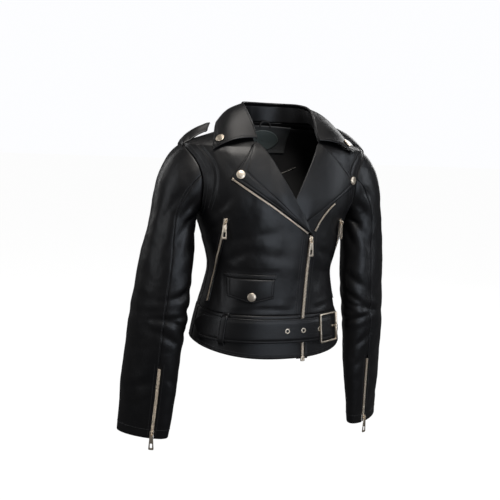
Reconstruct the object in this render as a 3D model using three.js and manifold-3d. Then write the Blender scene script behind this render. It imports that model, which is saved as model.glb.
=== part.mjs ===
// A cropped leather riding jacket with an offset front zip, notched lapels, belt, shoulder straps and
// zipped cuffs, standing as it does when it is worn. Millimetres, +Z up, the jacket faces -Y and the
// wearer's right is -X. The origin is where the hanger loop at the back of the neck meets its hook.
import * as THREE from "three";
import { mergeVertices } from "three/addons/utils/BufferGeometryUtils.js";
import Module from "manifold-3d";

const wasm = await Module();
wasm.setup();

// ---- Driving sizes ----
const BODY_LENGTH = 472; // hanger loop to the front hem
const CHEST_WIDTH = 326; // flat width under the arms
const SLEEVE_LENGTH = 460; // underarm to cuff
const LEATHER = 1.6; // one ply of the shell
const TWO_PLY = 2.2; // lapels, collar, flap and straps
const LINING = 0.8;
const GAP = 0.3; // between pieces that touch
const CHAIN_WIDTH = 6.4; // closed zip teeth
const CHAIN_DEPTH = 2.2;
const TAPE = 0.6;
const SLIDER = { width: 9.5, length: 13, depth: 5.2 };
const PULL = { length: 34, top: 7, bottom: 11.5, depth: 1.8 };
const SNAP_DIAMETER = 17.5;
const SNAP_DEPTH = 2.2;
const BELT_WIDTH = 50;
const BELT_LIFT = 5.4; // how far the strap stands off the waistband
const BUCKLE = { width: 54, height: BELT_WIDTH + 11, front: 3.6, heel: 2.9 };
const ARMHOLE = { high: 70, wide: 62, z: -119 };
const FLAP = { left: -110.7, right: -25, top: -309, corner: -347, point: -360 };
const PANEL_SEAM = 0.16; // degrees left open at each side of a seam

const tall = BODY_LENGTH / 472;
const wide = CHEST_WIDTH / 326;
const AXIS_Y = -59; // the body's own centre line

// ---- Materials ----
const look = (color, roughness, metalness) => new THREE.MeshStandardMaterial({ color, roughness, metalness });
const leather = look(0x16161a, 0.45, 0);
const lining = look(0x0d0d10, 0.8, 0);
const metal = look(0xcdbfae, 0.28, 1);
const tape = look(0x101012, 0.9, 0);
const label = look(0x4a5251, 0.5, 0);

// ---- The body: superellipse sections between the hem and the neck ----
const SQUARE = 2.4;
// height, half width, depth to the front, depth to the back
const SECTIONS = [
  [-480, 163, 122, 118], [-440, 158, 119, 113], [-383, 147, 116, 104], [-340, 136, 115.5, 95],
  [-300, 130, 116, 90], [-262, 138, 117, 92], [-224, 150, 118, 96], [-190, 160, 118.5, 101],
  [-150, 177, 117, 105], [-120, 186, 112, 106], [-85, 194, 103, 103], [-60, 198, 95, 98],
  [-50, 196, 90, 94], [-42, 177, 85, 90], [-34, 153, 80, 85], [-23, 121, 73, 78],
  [-14, 97, 68, 73], [-4, 77, 63, 67], [6, 66, 58, 62],
].map(([z, a, front, back]) => [z * tall, a * wide, front * wide, back * wide]);

// A smooth curve through rows of numbers that never overshoots between them.
function smoothRows(rows) {
  const slopeBetween = (i, k) => (rows[i + 1][k] - rows[i][k]) / (rows[i + 1][0] - rows[i][0]);
  const slopes = rows.map((row, i) => row.map((_, k) => {
    if (k === 0) return 0;
    if (i === 0) return slopeBetween(0, k);
    if (i === rows.length - 1) return slopeBetween(i - 1, k);
    const before = slopeBetween(i - 1, k);
    const after = slopeBetween(i, k);
    return before * after <= 0 ? 0 : (2 * before * after) / (before + after);
  }));
  return (at) => {
    const z = THREE.MathUtils.clamp(at, rows[0][0], rows[rows.length - 1][0]);
    let i = 0;
    while (i < rows.length - 2 && rows[i + 1][0] < z) i += 1;
    const span = rows[i + 1][0] - rows[i][0];
    const t = (z - rows[i][0]) / span;
    const [h0, h1] = [(1 + 2 * t) * (1 - t) ** 2, t * (1 - t) ** 2];
    const [h2, h3] = [t * t * (3 - 2 * t), t * t * (t - 1)];
    return rows[i].map((value, k) =>
      h0 * value + h1 * span * slopes[i][k] + h2 * rows[i + 1][k] + h3 * span * slopes[i + 1][k]);
  };
}
const section = smoothRows(SECTIONS);

// A point of the body's outer face: turn is 0 at the front, -90 on the wearer's right, 180 at the back.
function skin(turn, z) {
  const [, a, front, back] = section(z);
  const angle = THREE.MathUtils.degToRad(turn);
  const [s, c] = [Math.sin(angle), Math.cos(angle)];
  const reach = (value) => Math.sign(value) * Math.abs(value) ** (2 / SQUARE);
  return new THREE.Vector3(a * reach(s), AXIS_Y - (c > 0 ? front : back) * reach(c), z);
}
function skinNormal(turn, z) {
  const across = skin(turn + 0.6, z).sub(skin(turn - 0.6, z));
  const up = skin(turn, z + 0.6).sub(skin(turn, z - 0.6));
  return across.cross(up).normalize();
}
const shell = (turn, z, lift = 0) => skin(turn, z).addScaledVector(skinNormal(turn, z), lift);

// The turn that lies over a given x on the front.
function turnAt(x, z) {
  const share = Math.min(1, Math.abs(x) / section(z)[1]) ** (SQUARE / 2);
  return THREE.MathUtils.radToDeg(Math.sign(x) * Math.asin(share));
}
const front = (x, z, lift = 0) => shell(turnAt(x, z), z, lift);

// ---- Solids ----
function solidGeometry(points, faces) {
  const volume = faces.reduce((sum, [a, b, c]) =>
    sum + points[a].dot(points[b].clone().cross(points[c])) / 6, 0);
  const index = (volume < 0 ? faces.map(([a, b, c]) => [a, c, b]) : faces).flat();
  const geometry = new THREE.BufferGeometry();
  geometry.setAttribute("position", new THREE.Float32BufferAttribute(points.flatMap((p) => p.toArray()), 3));
  geometry.setIndex(index);
  geometry.computeVertexNormals();
  return geometry;
}

// A closed sheet: at(u, v, side) gives its outer face at side 0 and its inner face at side 1.
function slab(at, columns, rows, closed = false) {
  const points = [];
  const across = closed ? columns : columns + 1;
  for (const side of [0, 1])
    for (let j = 0; j <= rows; j += 1)
      for (let i = 0; i < across; i += 1) points.push(at(i / columns, j / rows, side));
  const id = (i, j, side) => side * across * (rows + 1) + j * across + (closed ? i % columns : i);
  const faces = [];
  const quad = (a, b, c, d) => faces.push([a, b, c], [a, c, d]);
  for (let j = 0; j < rows; j += 1)
    for (let i = 0; i < columns; i += 1) {
      quad(id(i, j, 0), id(i + 1, j, 0), id(i + 1, j + 1, 0), id(i, j + 1, 0));
      quad(id(i, j, 1), id(i, j + 1, 1), id(i + 1, j + 1, 1), id(i + 1, j, 1));
    }
  for (let i = 0; i < columns; i += 1) {
    quad(id(i, 0, 0), id(i, 0, 1), id(i + 1, 0, 1), id(i + 1, 0, 0));
    quad(id(i, rows, 0), id(i + 1, rows, 0), id(i + 1, rows, 1), id(i, rows, 1));
  }
  if (!closed)
    for (let j = 0; j < rows; j += 1) {
      quad(id(0, j, 0), id(0, j + 1, 0), id(0, j + 1, 1), id(0, j, 1));
      quad(id(columns, j, 0), id(columns, j, 1), id(columns, j + 1, 1), id(columns, j + 1, 0));
    }
  return solidGeometry(points, faces);
}

function toSolid(geometry) {
  const bare = geometry.clone();
  bare.deleteAttribute("normal");
  bare.deleteAttribute("uv");
  const merged = mergeVertices(bare, 1e-4);
  return new wasm.Manifold(new wasm.Mesh({
    numProp: 3,
    vertProperties: merged.attributes.position.array,
    triVerts: new Uint32Array(merged.index.array),
  }));
}
function fromSolid(solid) {
  const { vertProperties, triVerts } = solid.getMesh();
  const geometry = new THREE.BufferGeometry();
  geometry.setAttribute("position", new THREE.BufferAttribute(new Float32Array(vertProperties), 3));
  geometry.setIndex(new THREE.BufferAttribute(new Uint32Array(triVerts), 1));
  geometry.computeVertexNormals();
  return geometry;
}
const cut = (geometry, ...tools) =>
  fromSolid(tools.reduce((solid, tool) => solid.subtract(toSolid(tool)), toSolid(geometry)));

const jacket = new THREE.Group();
function add(name, geometry, material, parent = jacket) {
  const mesh = new THREE.Mesh(geometry, material);
  mesh.name = name;
  parent.add(mesh);
  return mesh;
}
const mix = THREE.MathUtils.lerp;
const mixPoint = (a, b, t) => a.map((value, k) => mix(value, b[k], t));

// A broken line through points, by a share from 0 to 1 with the points evenly spread.
function along(points, share) {
  const place = share * (points.length - 1);
  const i = Math.min(points.length - 2, Math.floor(place));
  return mixPoint(points[i], points[i + 1], place - i);
}
// A broken line read by height: rows of [z, value].
function byHeight(rows, z) {
  const i = Math.max(0, rows.findIndex(([top]) => z <= top) - 1);
  const last = Math.min(i, rows.length - 2);
  const t = THREE.MathUtils.clamp((z - rows[last][0]) / (rows[last + 1][0] - rows[last][0]), 0, 1);
  return mix(rows[last][1], rows[last + 1][1], t);
}

// ---- Lines of the front ----
const HEM = -BODY_LENGTH;
const BAND_TOP = HEM + 89;
const V_BOTTOM = [8 * wide, -149 * tall];
const ZIP_HEAD = [49 * wide, -220 * tall]; // where the two halves part
const ZIP_BAND = [42 * wide, BAND_TOP];
const ZIP_FOOT = [44 * wide, HEM];
const hemAt = (turn) => HEM + 17 * Math.sin(THREE.MathUtils.degToRad(turn)) ** 2;

// The closed zip's centre line by height, and each front's edge above it.
const zipX = (z) => byHeight([[...ZIP_FOOT].reverse(), [...ZIP_BAND].reverse(), [...ZIP_HEAD].reverse()], z);
const foldRight = [[V_BOTTOM[1], V_BOTTOM[0]], [-115, -16], [-63, -41], [-38, -64], [-20, -68], [6, -72]];
const foldLeft = [[V_BOTTOM[1], V_BOTTOM[0]], [-97, 36], [-57, 56], [-36, 65], [-20, 68], [6, 72]];
function frontEdge(side, z) {
  if (z <= ZIP_HEAD[1]) return zipX(z) + side * (CHAIN_WIDTH / 2 + GAP);
  if (z <= V_BOTTOM[1]) {
    const t = (z - ZIP_HEAD[1]) / (V_BOTTOM[1] - ZIP_HEAD[1]);
    const open = mix(CHAIN_WIDTH / 2 + GAP, 1, Math.min(1, t * 6));
    return mix(ZIP_HEAD[0], V_BOTTOM[0], t) + side * open;
  }
  const rows = (side < 0 ? foldRight : foldLeft).map(([h, x], i) => (i ? [h * tall, x * wide] : [h, x]));
  return byHeight(rows, z);
}

// ---- Armholes: an oval cut through the side, and the sleeve's first ring on it ----
const armTop = ARMHOLE.z * tall + ARMHOLE.high * tall;
const armLow = ARMHOLE.z * tall - ARMHOLE.high * tall;
// A point on the armhole's oval: 0 is the shoulder, 90 the front, 180 the underarm.
function armhole(side, angle, inset = 0) {
  const t = THREE.MathUtils.degToRad(angle);
  const y = -(ARMHOLE.wide * wide - inset) * Math.sin(t);
  const z = (armTop + armLow) / 2 + (ARMHOLE.high * tall - inset) * Math.cos(t);
  const [, a, ahead, behind] = section(z);
  const b = y < 0 ? ahead : behind;
  const x = a * (1 - Math.min(0.9, Math.abs(y) / b) ** SQUARE) ** (1 / SQUARE);
  return new THREE.Vector3(side * x, AXIS_Y + y, z);
}
// The tool is a plain prism: its two ends are fans round one centre point each.
function armholePrism(side, inset) {
  const points = [];
  const steps = 28;
  for (const x of [90, 260])
    for (let i = 0; i < steps; i += 1) {
      const p = armhole(side, (i / steps) * 360, inset);
      points.push(new THREE.Vector3(side * x * wide, p.y, p.z));
    }
  const faces = [];
  for (let i = 0; i < steps; i += 1) {
    const next = (i + 1) % steps;
    faces.push([i, next, steps + next], [i, steps + next, steps + i]);
    if (i > 1) faces.push([0, i, i - 1], [steps, steps + i - 1, steps + i]);
  }
  return solidGeometry(points, faces);
}
const bothArmholes = [armholePrism(-1, 0), armholePrism(1, 0)];

// ---- Shell panels ----
const SIDE_SEAM = 90;
const NECK_Z = -1.5;
const YOKE_Z = -118 * tall;
for (const [name, side] of [["right", -1], ["left", 1]]) {
  const panel = slab((u, v, face) => {
    const z = mix(BAND_TOP + GAP, NECK_Z, v);
    const inner = turnAt(frontEdge(side, z), z);
    return shell(mix(inner, side * (SIDE_SEAM - PANEL_SEAM), u), z, face ? -LEATHER : 0);
  }, 14, 26);
  add(`front_panel_${name}`, cut(panel, ...bothArmholes), leather);
}
function backSheet(low, high, rows) {
  return cut(slab((u, v, face) => {
    const turn = mix(SIDE_SEAM + PANEL_SEAM, 360 - SIDE_SEAM - PANEL_SEAM, u);
    return shell(turn, mix(low, high, v), face ? -LEATHER : 0);
  }, 20, rows), ...bothArmholes);
}
add("back_panel", backSheet(BAND_TOP + GAP, YOKE_Z - GAP / 2, 12), leather);
add("back_yoke", backSheet(YOKE_Z + GAP / 2, NECK_Z, 10), leather);

// ---- Waistband below the panels: two fronts and a back ----
function band(from, to, columns) {
  return slab((u, v, face) => {
    const guess = mix(from(BAND_TOP), to(BAND_TOP), u);
    const z = mix(hemAt(guess), BAND_TOP, v);
    return shell(mix(from(z), to(z), u), z, face ? -LEATHER - 0.6 : 0.4);
  }, columns, 3);
}
for (const [name, side] of [["right", -1], ["left", 1]]) {
  const inner = (z) => turnAt(zipX(z) + side * (CHAIN_WIDTH / 2 + GAP), z);
  add(`waistband_${name}`, band(inner, () => side * (SIDE_SEAM - PANEL_SEAM), 12), leather);
}
add("waistband_back", band(() => 90 + PANEL_SEAM, () => 270 - PANEL_SEAM, 18), leather);

// ---- Lapels: the turned-back tops of the two fronts ----
// The right one lies over the left one near the bottom of the opening.
const LAPEL_LIFT = 0.6;
const SIDE_LIFT = 1.7 * wide; // the left lapel reaches round to the side and stands off more
const lapelRight = {
  fold: [[-66, -39], [-52, -52], [-36, -74], [-14, -113], [10, -152], [33, -190], [45.5, -213]],
  edge: [[-74, -47], [-96, -78], [-118, -109], [-81, -131], [-36, -159], [12, -191], [46, -215.5]],
  lift: (x) => mix(LAPEL_LIFT, SIDE_LIFT + TWO_PLY + 0.6, THREE.MathUtils.smoothstep(x, -45, -5)),
};
const lapelLeft = {
  fold: [[66, -37], [52, -65], [36, -97], [22, -124], [9, -150], [20, -172], [31, -187]],
  edge: [[83, -48], [121, -82], [159, -116], [128, -134], [97, -153], [66, -173], [35, -192]],
  lift: () => SIDE_LIFT,
};
function lapelPoint(shape, u, v, lift) {
  const [x, z] = mixPoint(along(shape.fold, u), along(shape.edge, u), v).map((k, i) => k * (i ? tall : wide));
  return front(x, z, shape.lift(x / wide) + lift);
}
const lapelSheet = (shape) =>
  slab((u, v, face) => lapelPoint(shape, u, v, face ? 0 : TWO_PLY), 18, 7);
add("lapel_right", lapelSheet(lapelRight), leather);
add("lapel_left", lapelSheet(lapelLeft), leather);

// ---- Collar: a stand round the neck and a leaf folded down over it ----
// Each curve runs from the back of the neck to the wearer's left front; the other half is its mirror.
const neckCurve = (points) => {
  const half = points.map(([x, y, z]) => [x * wide, AXIS_Y + y * wide, z * tall]);
  const line = [...half.slice(1).reverse().map(([x, y, z]) => [-x, y, z]), ...half];
  const curve = new THREE.CatmullRomCurve3(line.map((p) => new THREE.Vector3(...p)), false, "centripetal");
  return (share) => curve.getPoint(share);
};
const standFoot = neckCurve([
  [0, 67, 0.5], [38, 57, 0.5], [65, 30, 0.8], [72, -8, 1], [69, -48, -8], [65, -80, -33],
]);
const collarFold = neckCurve([
  [0, 63, 35], [36, 56, 35], [63, 30, 34], [73, -8, 27], [71, -46, 4], [67, -84, -31],
]);
const leafEdge = neckCurve([
  [0, 93, -16], [56, 84, -17], [100, 54, -12], [122, 10, -6], [140, -38, -26], [150, -76, -56],
]);
// Pushes a point out to a given lift over the shell, where it would lie lower.
function clearOfShell(point, lift) {
  const [, a, ahead, behind] = section(point.z);
  const [x, y] = [point.x / (a + lift), (point.y - AXIS_Y) / ((point.y < AXIS_Y ? ahead : behind) + lift)];
  const share = (Math.abs(x) ** SQUARE + Math.abs(y) ** SQUARE) ** (1 / SQUARE);
  if (share >= 1) return point;
  return new THREE.Vector3(point.x / share, AXIS_Y + (point.y - AXIS_Y) / share, point.z);
}
function acrossLeaf(u, v) {
  const [top, low] = [collarFold(u), leafEdge(u)];
  const bulge = Math.sin(Math.PI * v);
  const outward = new THREE.Vector3(top.x, top.y - AXIS_Y, 0).normalize();
  const point = top.lerp(low, v).addScaledVector(outward, 5 * bulge).add(new THREE.Vector3(0, 0, 7 * bulge));
  return clearOfShell(point, 3.5 * Math.min(1, v * 4));
}
function sheetOver(surface, outer, inner, columns, rows) {
  const step = 0.004;
  return slab((u, v, face) => {
    const [u0, u1] = [Math.max(0, u - step), Math.min(1, u + step)];
    const [v0, v1] = [Math.max(0, v - step * 4), Math.min(1, v + step * 4)];
    const normal = surface(u1, v).sub(surface(u0, v)).cross(surface(u, v1).sub(surface(u, v0))).normalize();
    return surface(u, v).addScaledVector(normal, face ? inner : outer);
  }, columns, rows);
}
const standAt = (u, v) => collarFold(u).lerp(standFoot(u), v);
add("collar_leaf", sheetOver(acrossLeaf, GAP / 2 + TWO_PLY, GAP / 2, 30, 5), leather);
add("collar_stand", sheetOver(standAt, -GAP / 2, -LEATHER - GAP / 2, 30, 3), leather);

// ---- Sleeves: a cap from the armhole, then flattened sections down to the cuff ----
const SLEEVE_TOP = armLow - 12;
// share down the sleeve, distance out, forward shift, long and short half axes
const SLEEVE_ROWS = smoothRows([
  [0, 209, 3, 47, 45], [0.25, 222, 0, 60, 44], [0.5, 235, -6, 64, 40], [0.75, 245, -12, 65, 33],
  [1, 255, -18, 61, 24],
]);
const CUFF_TURN = 82; // the zipped seam, on the inner front
const BACK_TURN = 295; // the plain seam, on the outer back
const FLAT_TURN = -42; // the direction of the flattened sleeve's long axis
function sleeveRing(side, angle, share, inset) {
  const [, out, ahead, long, short] = SLEEVE_ROWS(share);
  const t = THREE.MathUtils.degToRad(angle - FLAT_TURN);
  const [p, q] = [(long - inset) * Math.cos(t), (short - inset) * Math.sin(t)];
  const turn = THREE.MathUtils.degToRad(FLAT_TURN);
  const outward = p * Math.cos(turn) - q * Math.sin(turn);
  const forward = p * Math.sin(turn) + q * Math.cos(turn);
  const z = SLEEVE_TOP - share * SLEEVE_LENGTH + outward * 0.12 * (1 - share);
  return new THREE.Vector3(side * (out * wide + outward), AXIS_Y - ahead - forward, z);
}
const CAP = 0.26; // share of the sleeve's grid that is its cap
function sleeve(side, angle, s, inset = 0) {
  if (s >= CAP) return sleeveRing(side, angle, (s - CAP) / (1 - CAP), inset);
  const t = s / CAP;
  const from = armhole(side, angle, inset + GAP);
  const to = sleeveRing(side, angle, 0, inset);
  const high = (1 + Math.cos(THREE.MathUtils.degToRad(angle))) / 2;
  const reach = from.distanceTo(to);
  from.x += side * (GAP + 0.2);
  const leave = new THREE.Vector3(side * (0.35 + 0.6 * high), 0, -0.15 - 0.55 * high).multiplyScalar(reach);
  const arrive = new THREE.Vector3(side * 0.12, 0, -1).multiplyScalar(reach * 0.9);
  const [h0, h1] = [(1 + 2 * t) * (1 - t) ** 2, t * (1 - t) ** 2];
  const [h2, h3] = [t * t * (3 - 2 * t), t * t * (t - 1)];
  from.multiplyScalar(h0).addScaledVector(leave, h1);
  return from.addScaledVector(to, h2).addScaledVector(arrive, h3);
}
const CUFF_ZIP_TOP = 0.66; // share of the sleeve's own length
const zipStart = CAP + (1 - CAP) * CUFF_ZIP_TOP;
const CUFF_RADIUS = 46; // the cuff's own curve at that seam
function seamTurn(s) {
  const open = s > zipStart - 0.01 ? CHAIN_WIDTH / 2 + GAP : GAP / 2;
  return THREE.MathUtils.radToDeg(open / CUFF_RADIUS);
}
function sleevePanel(side, from, to, fromZip) {
  const upper = [0, 0.05, 0.1, 0.15, 0.2, CAP, 0.34, 0.42, 0.5, 0.58, 0.66];
  const rows = [...upper, zipStart - 0.012, zipStart, 0.82, 0.91, 1];
  return slab((u, v, face) => {
    const s = rows[Math.round(v * (rows.length - 1))];
    const [a, b] = fromZip ? [from + seamTurn(s), to - 0.3] : [from + 0.3, to - seamTurn(s)];
    return sleeve(side, mix(a, b, u), s, face ? LEATHER : 0);
  }, 12, rows.length - 1);
}
for (const [name, side] of [["right", -1], ["left", 1]]) {
  add(`sleeve_outer_${name}`, sleevePanel(side, BACK_TURN - 360, CUFF_TURN, false), leather);
  add(`sleeve_inner_${name}`, sleevePanel(side, CUFF_TURN, BACK_TURN, true), leather);
}

// ---- Linings ----
const BODY_LINING = -5.7 * wide;
add("lining_body", cut(slab((u, v, face) => {
  const z = mix(HEM + 28, NECK_Z - 6, 1 - (1 - v) ** 1.7);
  const [right, left] = [-1, 1].map((side) => turnAt(frontEdge(side, z) + side * 8, z));
  return shell(mix(left, 360 + right, u), z, BODY_LINING + (face ? -LINING : 0));
}, 30, 20), armholePrism(-1, 2), armholePrism(1, 2)), lining);
for (const [name, side] of [["right", -1], ["left", 1]])
  add(`sleeve_lining_${name}`, slab((u, v, face) =>
    sleeve(side, u * 360, mix(0.02, 0.975, v), LEATHER + 3 + (face ? LINING : 0)), 18, 12, true), lining);

// ---- Neck facing, label and hanger loop inside the back ----
const FACING_TOP = -5;
const FACING_LIFT = BODY_LINING - LINING - 1.2;
const facingTurn = (x, z) => 180 - turnAt(x, z);
const inBack = (x, z, lift) => shell(facingTurn(x, z), z, lift);
add("neck_facing", slab((u, v, face) =>
  inBack(mix(-58, 58, u) * wide, mix(-66, FACING_TOP, v), FACING_LIFT - (face ? 1 : 0)), 10, 8), leather);
add("neck_label", slab((u, v, face) => {
  const [x, z] = [(u * 2 - 1) * 38, (v * 2 - 1) * 23];
  const round = Math.hypot(x / 38, z / 23) || 1;
  const square = Math.max(Math.abs(x / 38), Math.abs(z / 23));
  const lift = FACING_LIFT - 1 - 2 * GAP - (face ? 0.6 : 0);
  return inBack((x * square) / round, -37 + (z * square) / round, lift);
}, 12, 6), label);

// ---- Fabric pockets behind the fronts ----
const CHEST_ZIP = { top: -190, foot: -366 };
for (const [name, side] of [["right", -1], ["left", 1]])
  add(`pocket_bag_${name}`, slab((u, v, face) => {
    const z = mix(CHEST_ZIP.foot - 6, CHEST_ZIP.top - 20, v) * tall;
    return shell(side * mix(27, 70, u), z, -LEATHER - (face ? 2 : 1.2));
  }, 8, 12), lining);

// ---- Pieces seated on a face: local X goes across, Y up and Z out ----
function frameAt(point, normal, up) {
  const out = normal.clone().normalize();
  const across = up.clone().cross(out).normalize();
  const group = new THREE.Group();
  group.matrixAutoUpdate = false;
  group.matrix.makeBasis(across, out.clone().cross(across), out).setPosition(point);
  jacket.add(group);
  return group;
}
const UP = new THREE.Vector3(0, 0, 1);
const onShell = (turn, z, lift) => frameAt(shell(turn, z, lift), skinNormal(turn, z), UP);

const flat = (points) => points.map(([x, y]) => new THREE.Vector2(x, y));

// ---- Press studs ----
function snapGeometry() {
  const r = SNAP_DIAMETER / 2;
  const h = SNAP_DEPTH;
  const profile = flat([[0, 0], [r - 0.6, 0], [r, 0.6], [r, h - 0.7], [r - 0.9, h], [0, h]]);
  return new THREE.LatheGeometry(profile, 18).rotateX(Math.PI / 2);
}
for (const [name, x, z, lift] of [["right", -100, -103, LAPEL_LIFT], ["left", 145, -110, SIDE_LIFT]]) {
  const [px, pz] = [x * wide, z * tall];
  add(`snap_lapel_${name}`, snapGeometry(), metal, onShell(turnAt(px, pz), pz, lift + TWO_PLY + 0.5));
}
for (const [name, u] of [["right", 0.035], ["left", 0.965]]) {
  const [point, v, step] = [acrossLeaf(u, 0.82), 0.82, 0.03];
  const normal = acrossLeaf(u + step, v).sub(acrossLeaf(u - step, v))
    .cross(acrossLeaf(u, v + step).sub(acrossLeaf(u, v - step))).normalize();
  const seat = point.addScaledVector(normal, TWO_PLY + 1.2);
  add(`snap_collar_${name}`, snapGeometry(), metal, frameAt(seat, normal, UP));
}

// ---- Coin pocket: a welt, and a pointed flap that closes on a stud ----
const FLAP_LIFT = 0.7;
const flapMiddle = (FLAP.left + FLAP.right) / 2;
function flapPoint(u, v, lift) {
  const x = mix(FLAP.left, FLAP.right, u);
  const low = mix(FLAP.corner, FLAP.point, 1 - Math.abs(2 * u - 1));
  return front(x * wide, mix(low, FLAP.top, v) * tall, lift);
}
add("coin_flap", slab((u, v, face) => flapPoint(u, v, FLAP_LIFT + (face ? 0 : TWO_PLY)), 10, 3), leather);
add("coin_pocket_welt", slab((u, v, face) => {
  const x = mix(FLAP.left - 3, FLAP.right + 3, u) * wide;
  return front(x, mix(FLAP.top + GAP, FLAP.top + 9, v) * tall, 0.7 + (face ? 0 : LEATHER));
}, 10, 1), leather);
const flapSnapZ = (FLAP.point + 15) * tall;
add("coin_flap_snap", snapGeometry(), metal,
  onShell(turnAt(flapMiddle * wide, flapSnapZ), flapSnapZ, FLAP_LIFT + TWO_PLY + 0.7));

// ---- Zip sliders and pulls ----
function boxAt(w, h, d, x, y, z) {
  return new THREE.BoxGeometry(w, h, d).translate(x, y, z);
}
const joined = (...geometries) =>
  fromSolid(geometries.map(toSolid).reduce((whole, solid) => whole.add(solid)));
const BRIDGE = { rise: 3.2, half: 4.6, wide: 2, bar: 1.2 };
const PLATE = SLIDER.depth - BRIDGE.rise - BRIDGE.bar + 1;
function sliderGeometry() {
  const [w, l] = [SLIDER.width / 2, SLIDER.length / 2];
  const tail = w * 0.72;
  const corners = [[-w, l - 3], [-w + 2, l], [w - 2, l], [w, l - 3], [tail, -l], [-tail, -l]];
  const outline = new THREE.Shape(flat(corners));
  const plate = new THREE.ExtrudeGeometry(outline, { depth: PLATE, bevelEnabled: false });
  const top = PLATE + BRIDGE.rise;
  const post = (y) => boxAt(BRIDGE.wide, BRIDGE.bar, top, 0, y, top / 2 + 0.5);
  const bar = boxAt(BRIDGE.wide, 2 * BRIDGE.half, BRIDGE.bar, 0, 0, top + BRIDGE.bar / 2);
  return joined(plate, post(BRIDGE.half - BRIDGE.bar / 2), post(BRIDGE.bar / 2 - BRIDGE.half), bar);
}
// The pull's eye turns about local X at its own origin and the plate hangs down -Y.
const EYE = 2.7;
function pullGeometry() {
  const { length, depth } = PULL;
  const [top, foot, rim] = [PULL.top / 2, PULL.bottom / 2, 0.9];
  const outline = new THREE.Shape(flat([
    [-top, rim - 1.5], [-top + 1.6, rim], [top - 1.6, rim], [top, rim - 1.5],
    [foot, -length + 2], [foot - 2, -length], [2 - foot, -length], [-foot, -length + 2],
  ]));
  const plate = new THREE.ExtrudeGeometry(outline, { depth, bevelEnabled: false });
  plate.translate(0, 0, -depth / 2);
  const eye = new THREE.CylinderGeometry(EYE, EYE, 2 * depth, 14).rotateX(Math.PI / 2);
  eye.translate(0, -EYE - 1, 0);
  return cut(plate, eye, boxAt(4.8, 10, 2 * depth, 0, 9 - length, 0));
}
// Adds a slider with its pull: point on the teeth's face, outward normal, and the way up the zip.
function addSlider(prefix, point, normal, way) {
  add(`${prefix}_slider`, sliderGeometry(), metal, frameAt(point, normal, way));
  const level = new THREE.Vector3(normal.x, normal.y, 0).normalize();
  const eye = point.clone().addScaledVector(normal, PLATE + BRIDGE.rise / 2);
  add(`${prefix}_pull`, pullGeometry(), metal, frameAt(eye, level, UP));
  return eye;
}
// A strip of teeth or tape laid along a line of points on a face; line(v) gives [point, normal, across].
function strip(line, left, right, low, high, rows) {
  return slab((u, v, face) => {
    const [point, normal, across] = line(v);
    return point.addScaledVector(across, mix(left, right, u)).addScaledVector(normal, face ? low : high);
  }, 1, rows);
}
function shellLine(at) {
  return (v) => {
    const place = (share) => {
      const [turn, z] = at(THREE.MathUtils.clamp(share, 0, 1));
      return [shell(turn, z), skinNormal(turn, z)];
    };
    const [point, normal] = place(v);
    const way = place(v + 0.02)[0].sub(place(v - 0.02)[0]).normalize();
    return [point, normal, way.cross(normal).normalize()];
  };
}

// Main zip: closed teeth from the foot to the slider, then one half under each lapel's edge.
const SLIDER_LIFT = 0.8;
const mainLine = shellLine((v) => {
  const z = mix(HEM - 2, ZIP_HEAD[1] - 1, v);
  return [turnAt(zipX(z), z), z];
});
add("main_zip_chain", strip(mainLine, -CHAIN_WIDTH / 2, CHAIN_WIDTH / 2, GAP - CHAIN_DEPTH, GAP, 24), metal);
const TAPE_LIFT = -LEATHER - 1.6;
const TAPE_HALF = 13;
add("main_zip_tape", strip(mainLine, -TAPE_HALF, TAPE_HALF, TAPE_LIFT - TAPE, TAPE_LIFT, 24), tape);
const HALF = CHAIN_WIDTH / 2 - 0.4;
const rightHalf = [[-114, -113], [-81, -135.5], [-36, -163.5], [10, -194.5], [39.5, -214.5]];
const leftHalf = [[100, -156], [88, -166], [76, -179], [65, -194], [57, -210]];
function halfLine(points) {
  return shellLine((v) => {
    const [x, z] = along(points, v);
    return [turnAt(x * wide, z * tall), z * tall];
  });
}
for (const [name, points, lift] of [["right", rightHalf, 1.1], ["left", leftHalf, 0.6]]) {
  const line = halfLine(points);
  add(`main_zip_teeth_${name}`, strip(line, -1.4, HALF - 1.4, lift, lift + CHAIN_DEPTH, 16), metal);
}
const headTurn = turnAt(ZIP_HEAD[0], ZIP_HEAD[1]);
const mainSlider = shell(headTurn, ZIP_HEAD[1] - 8, SLIDER_LIFT);
const zipWay = front(zipX(ZIP_HEAD[1]), ZIP_HEAD[1]).sub(front(ZIP_BAND[0], ZIP_BAND[1])).normalize();
addSlider("main_zip", mainSlider, skinNormal(headTurn, ZIP_HEAD[1]), zipWay);

// Chest pockets: teeth on the panel's face from the slider down to the foot.
// The pocket's line keeps straight while the waist narrows, so its turn grows faster in the middle.
const chestRows = smoothRows([
  [0, 46], [0.125, 50.5], [0.25, 56], [0.375, 62.5], [0.5, 69.5],
  [0.625, 75], [0.75, 77], [0.875, 77], [1, 76],
]);
const chestTurn = (share) => chestRows(share)[1];
for (const [name, side] of [["right", -1], ["left", 1]]) {
  const line = shellLine((v) => {
    const z = mix(CHEST_ZIP.foot, CHEST_ZIP.top, v) * tall;
    return [side * chestTurn(1 - v), z];
  });
  add(`chest_zip_chain_${name}`, strip(line, -2.4, 2.4, 0.4, 1.8, 18), metal);
  const [point, normal] = line(0.965);
  const way = line(0.99)[0].sub(line(0.94)[0]).normalize();
  addSlider(`chest_zip_${name}`, point.addScaledVector(normal, 2.3), normal, way);
}

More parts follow.
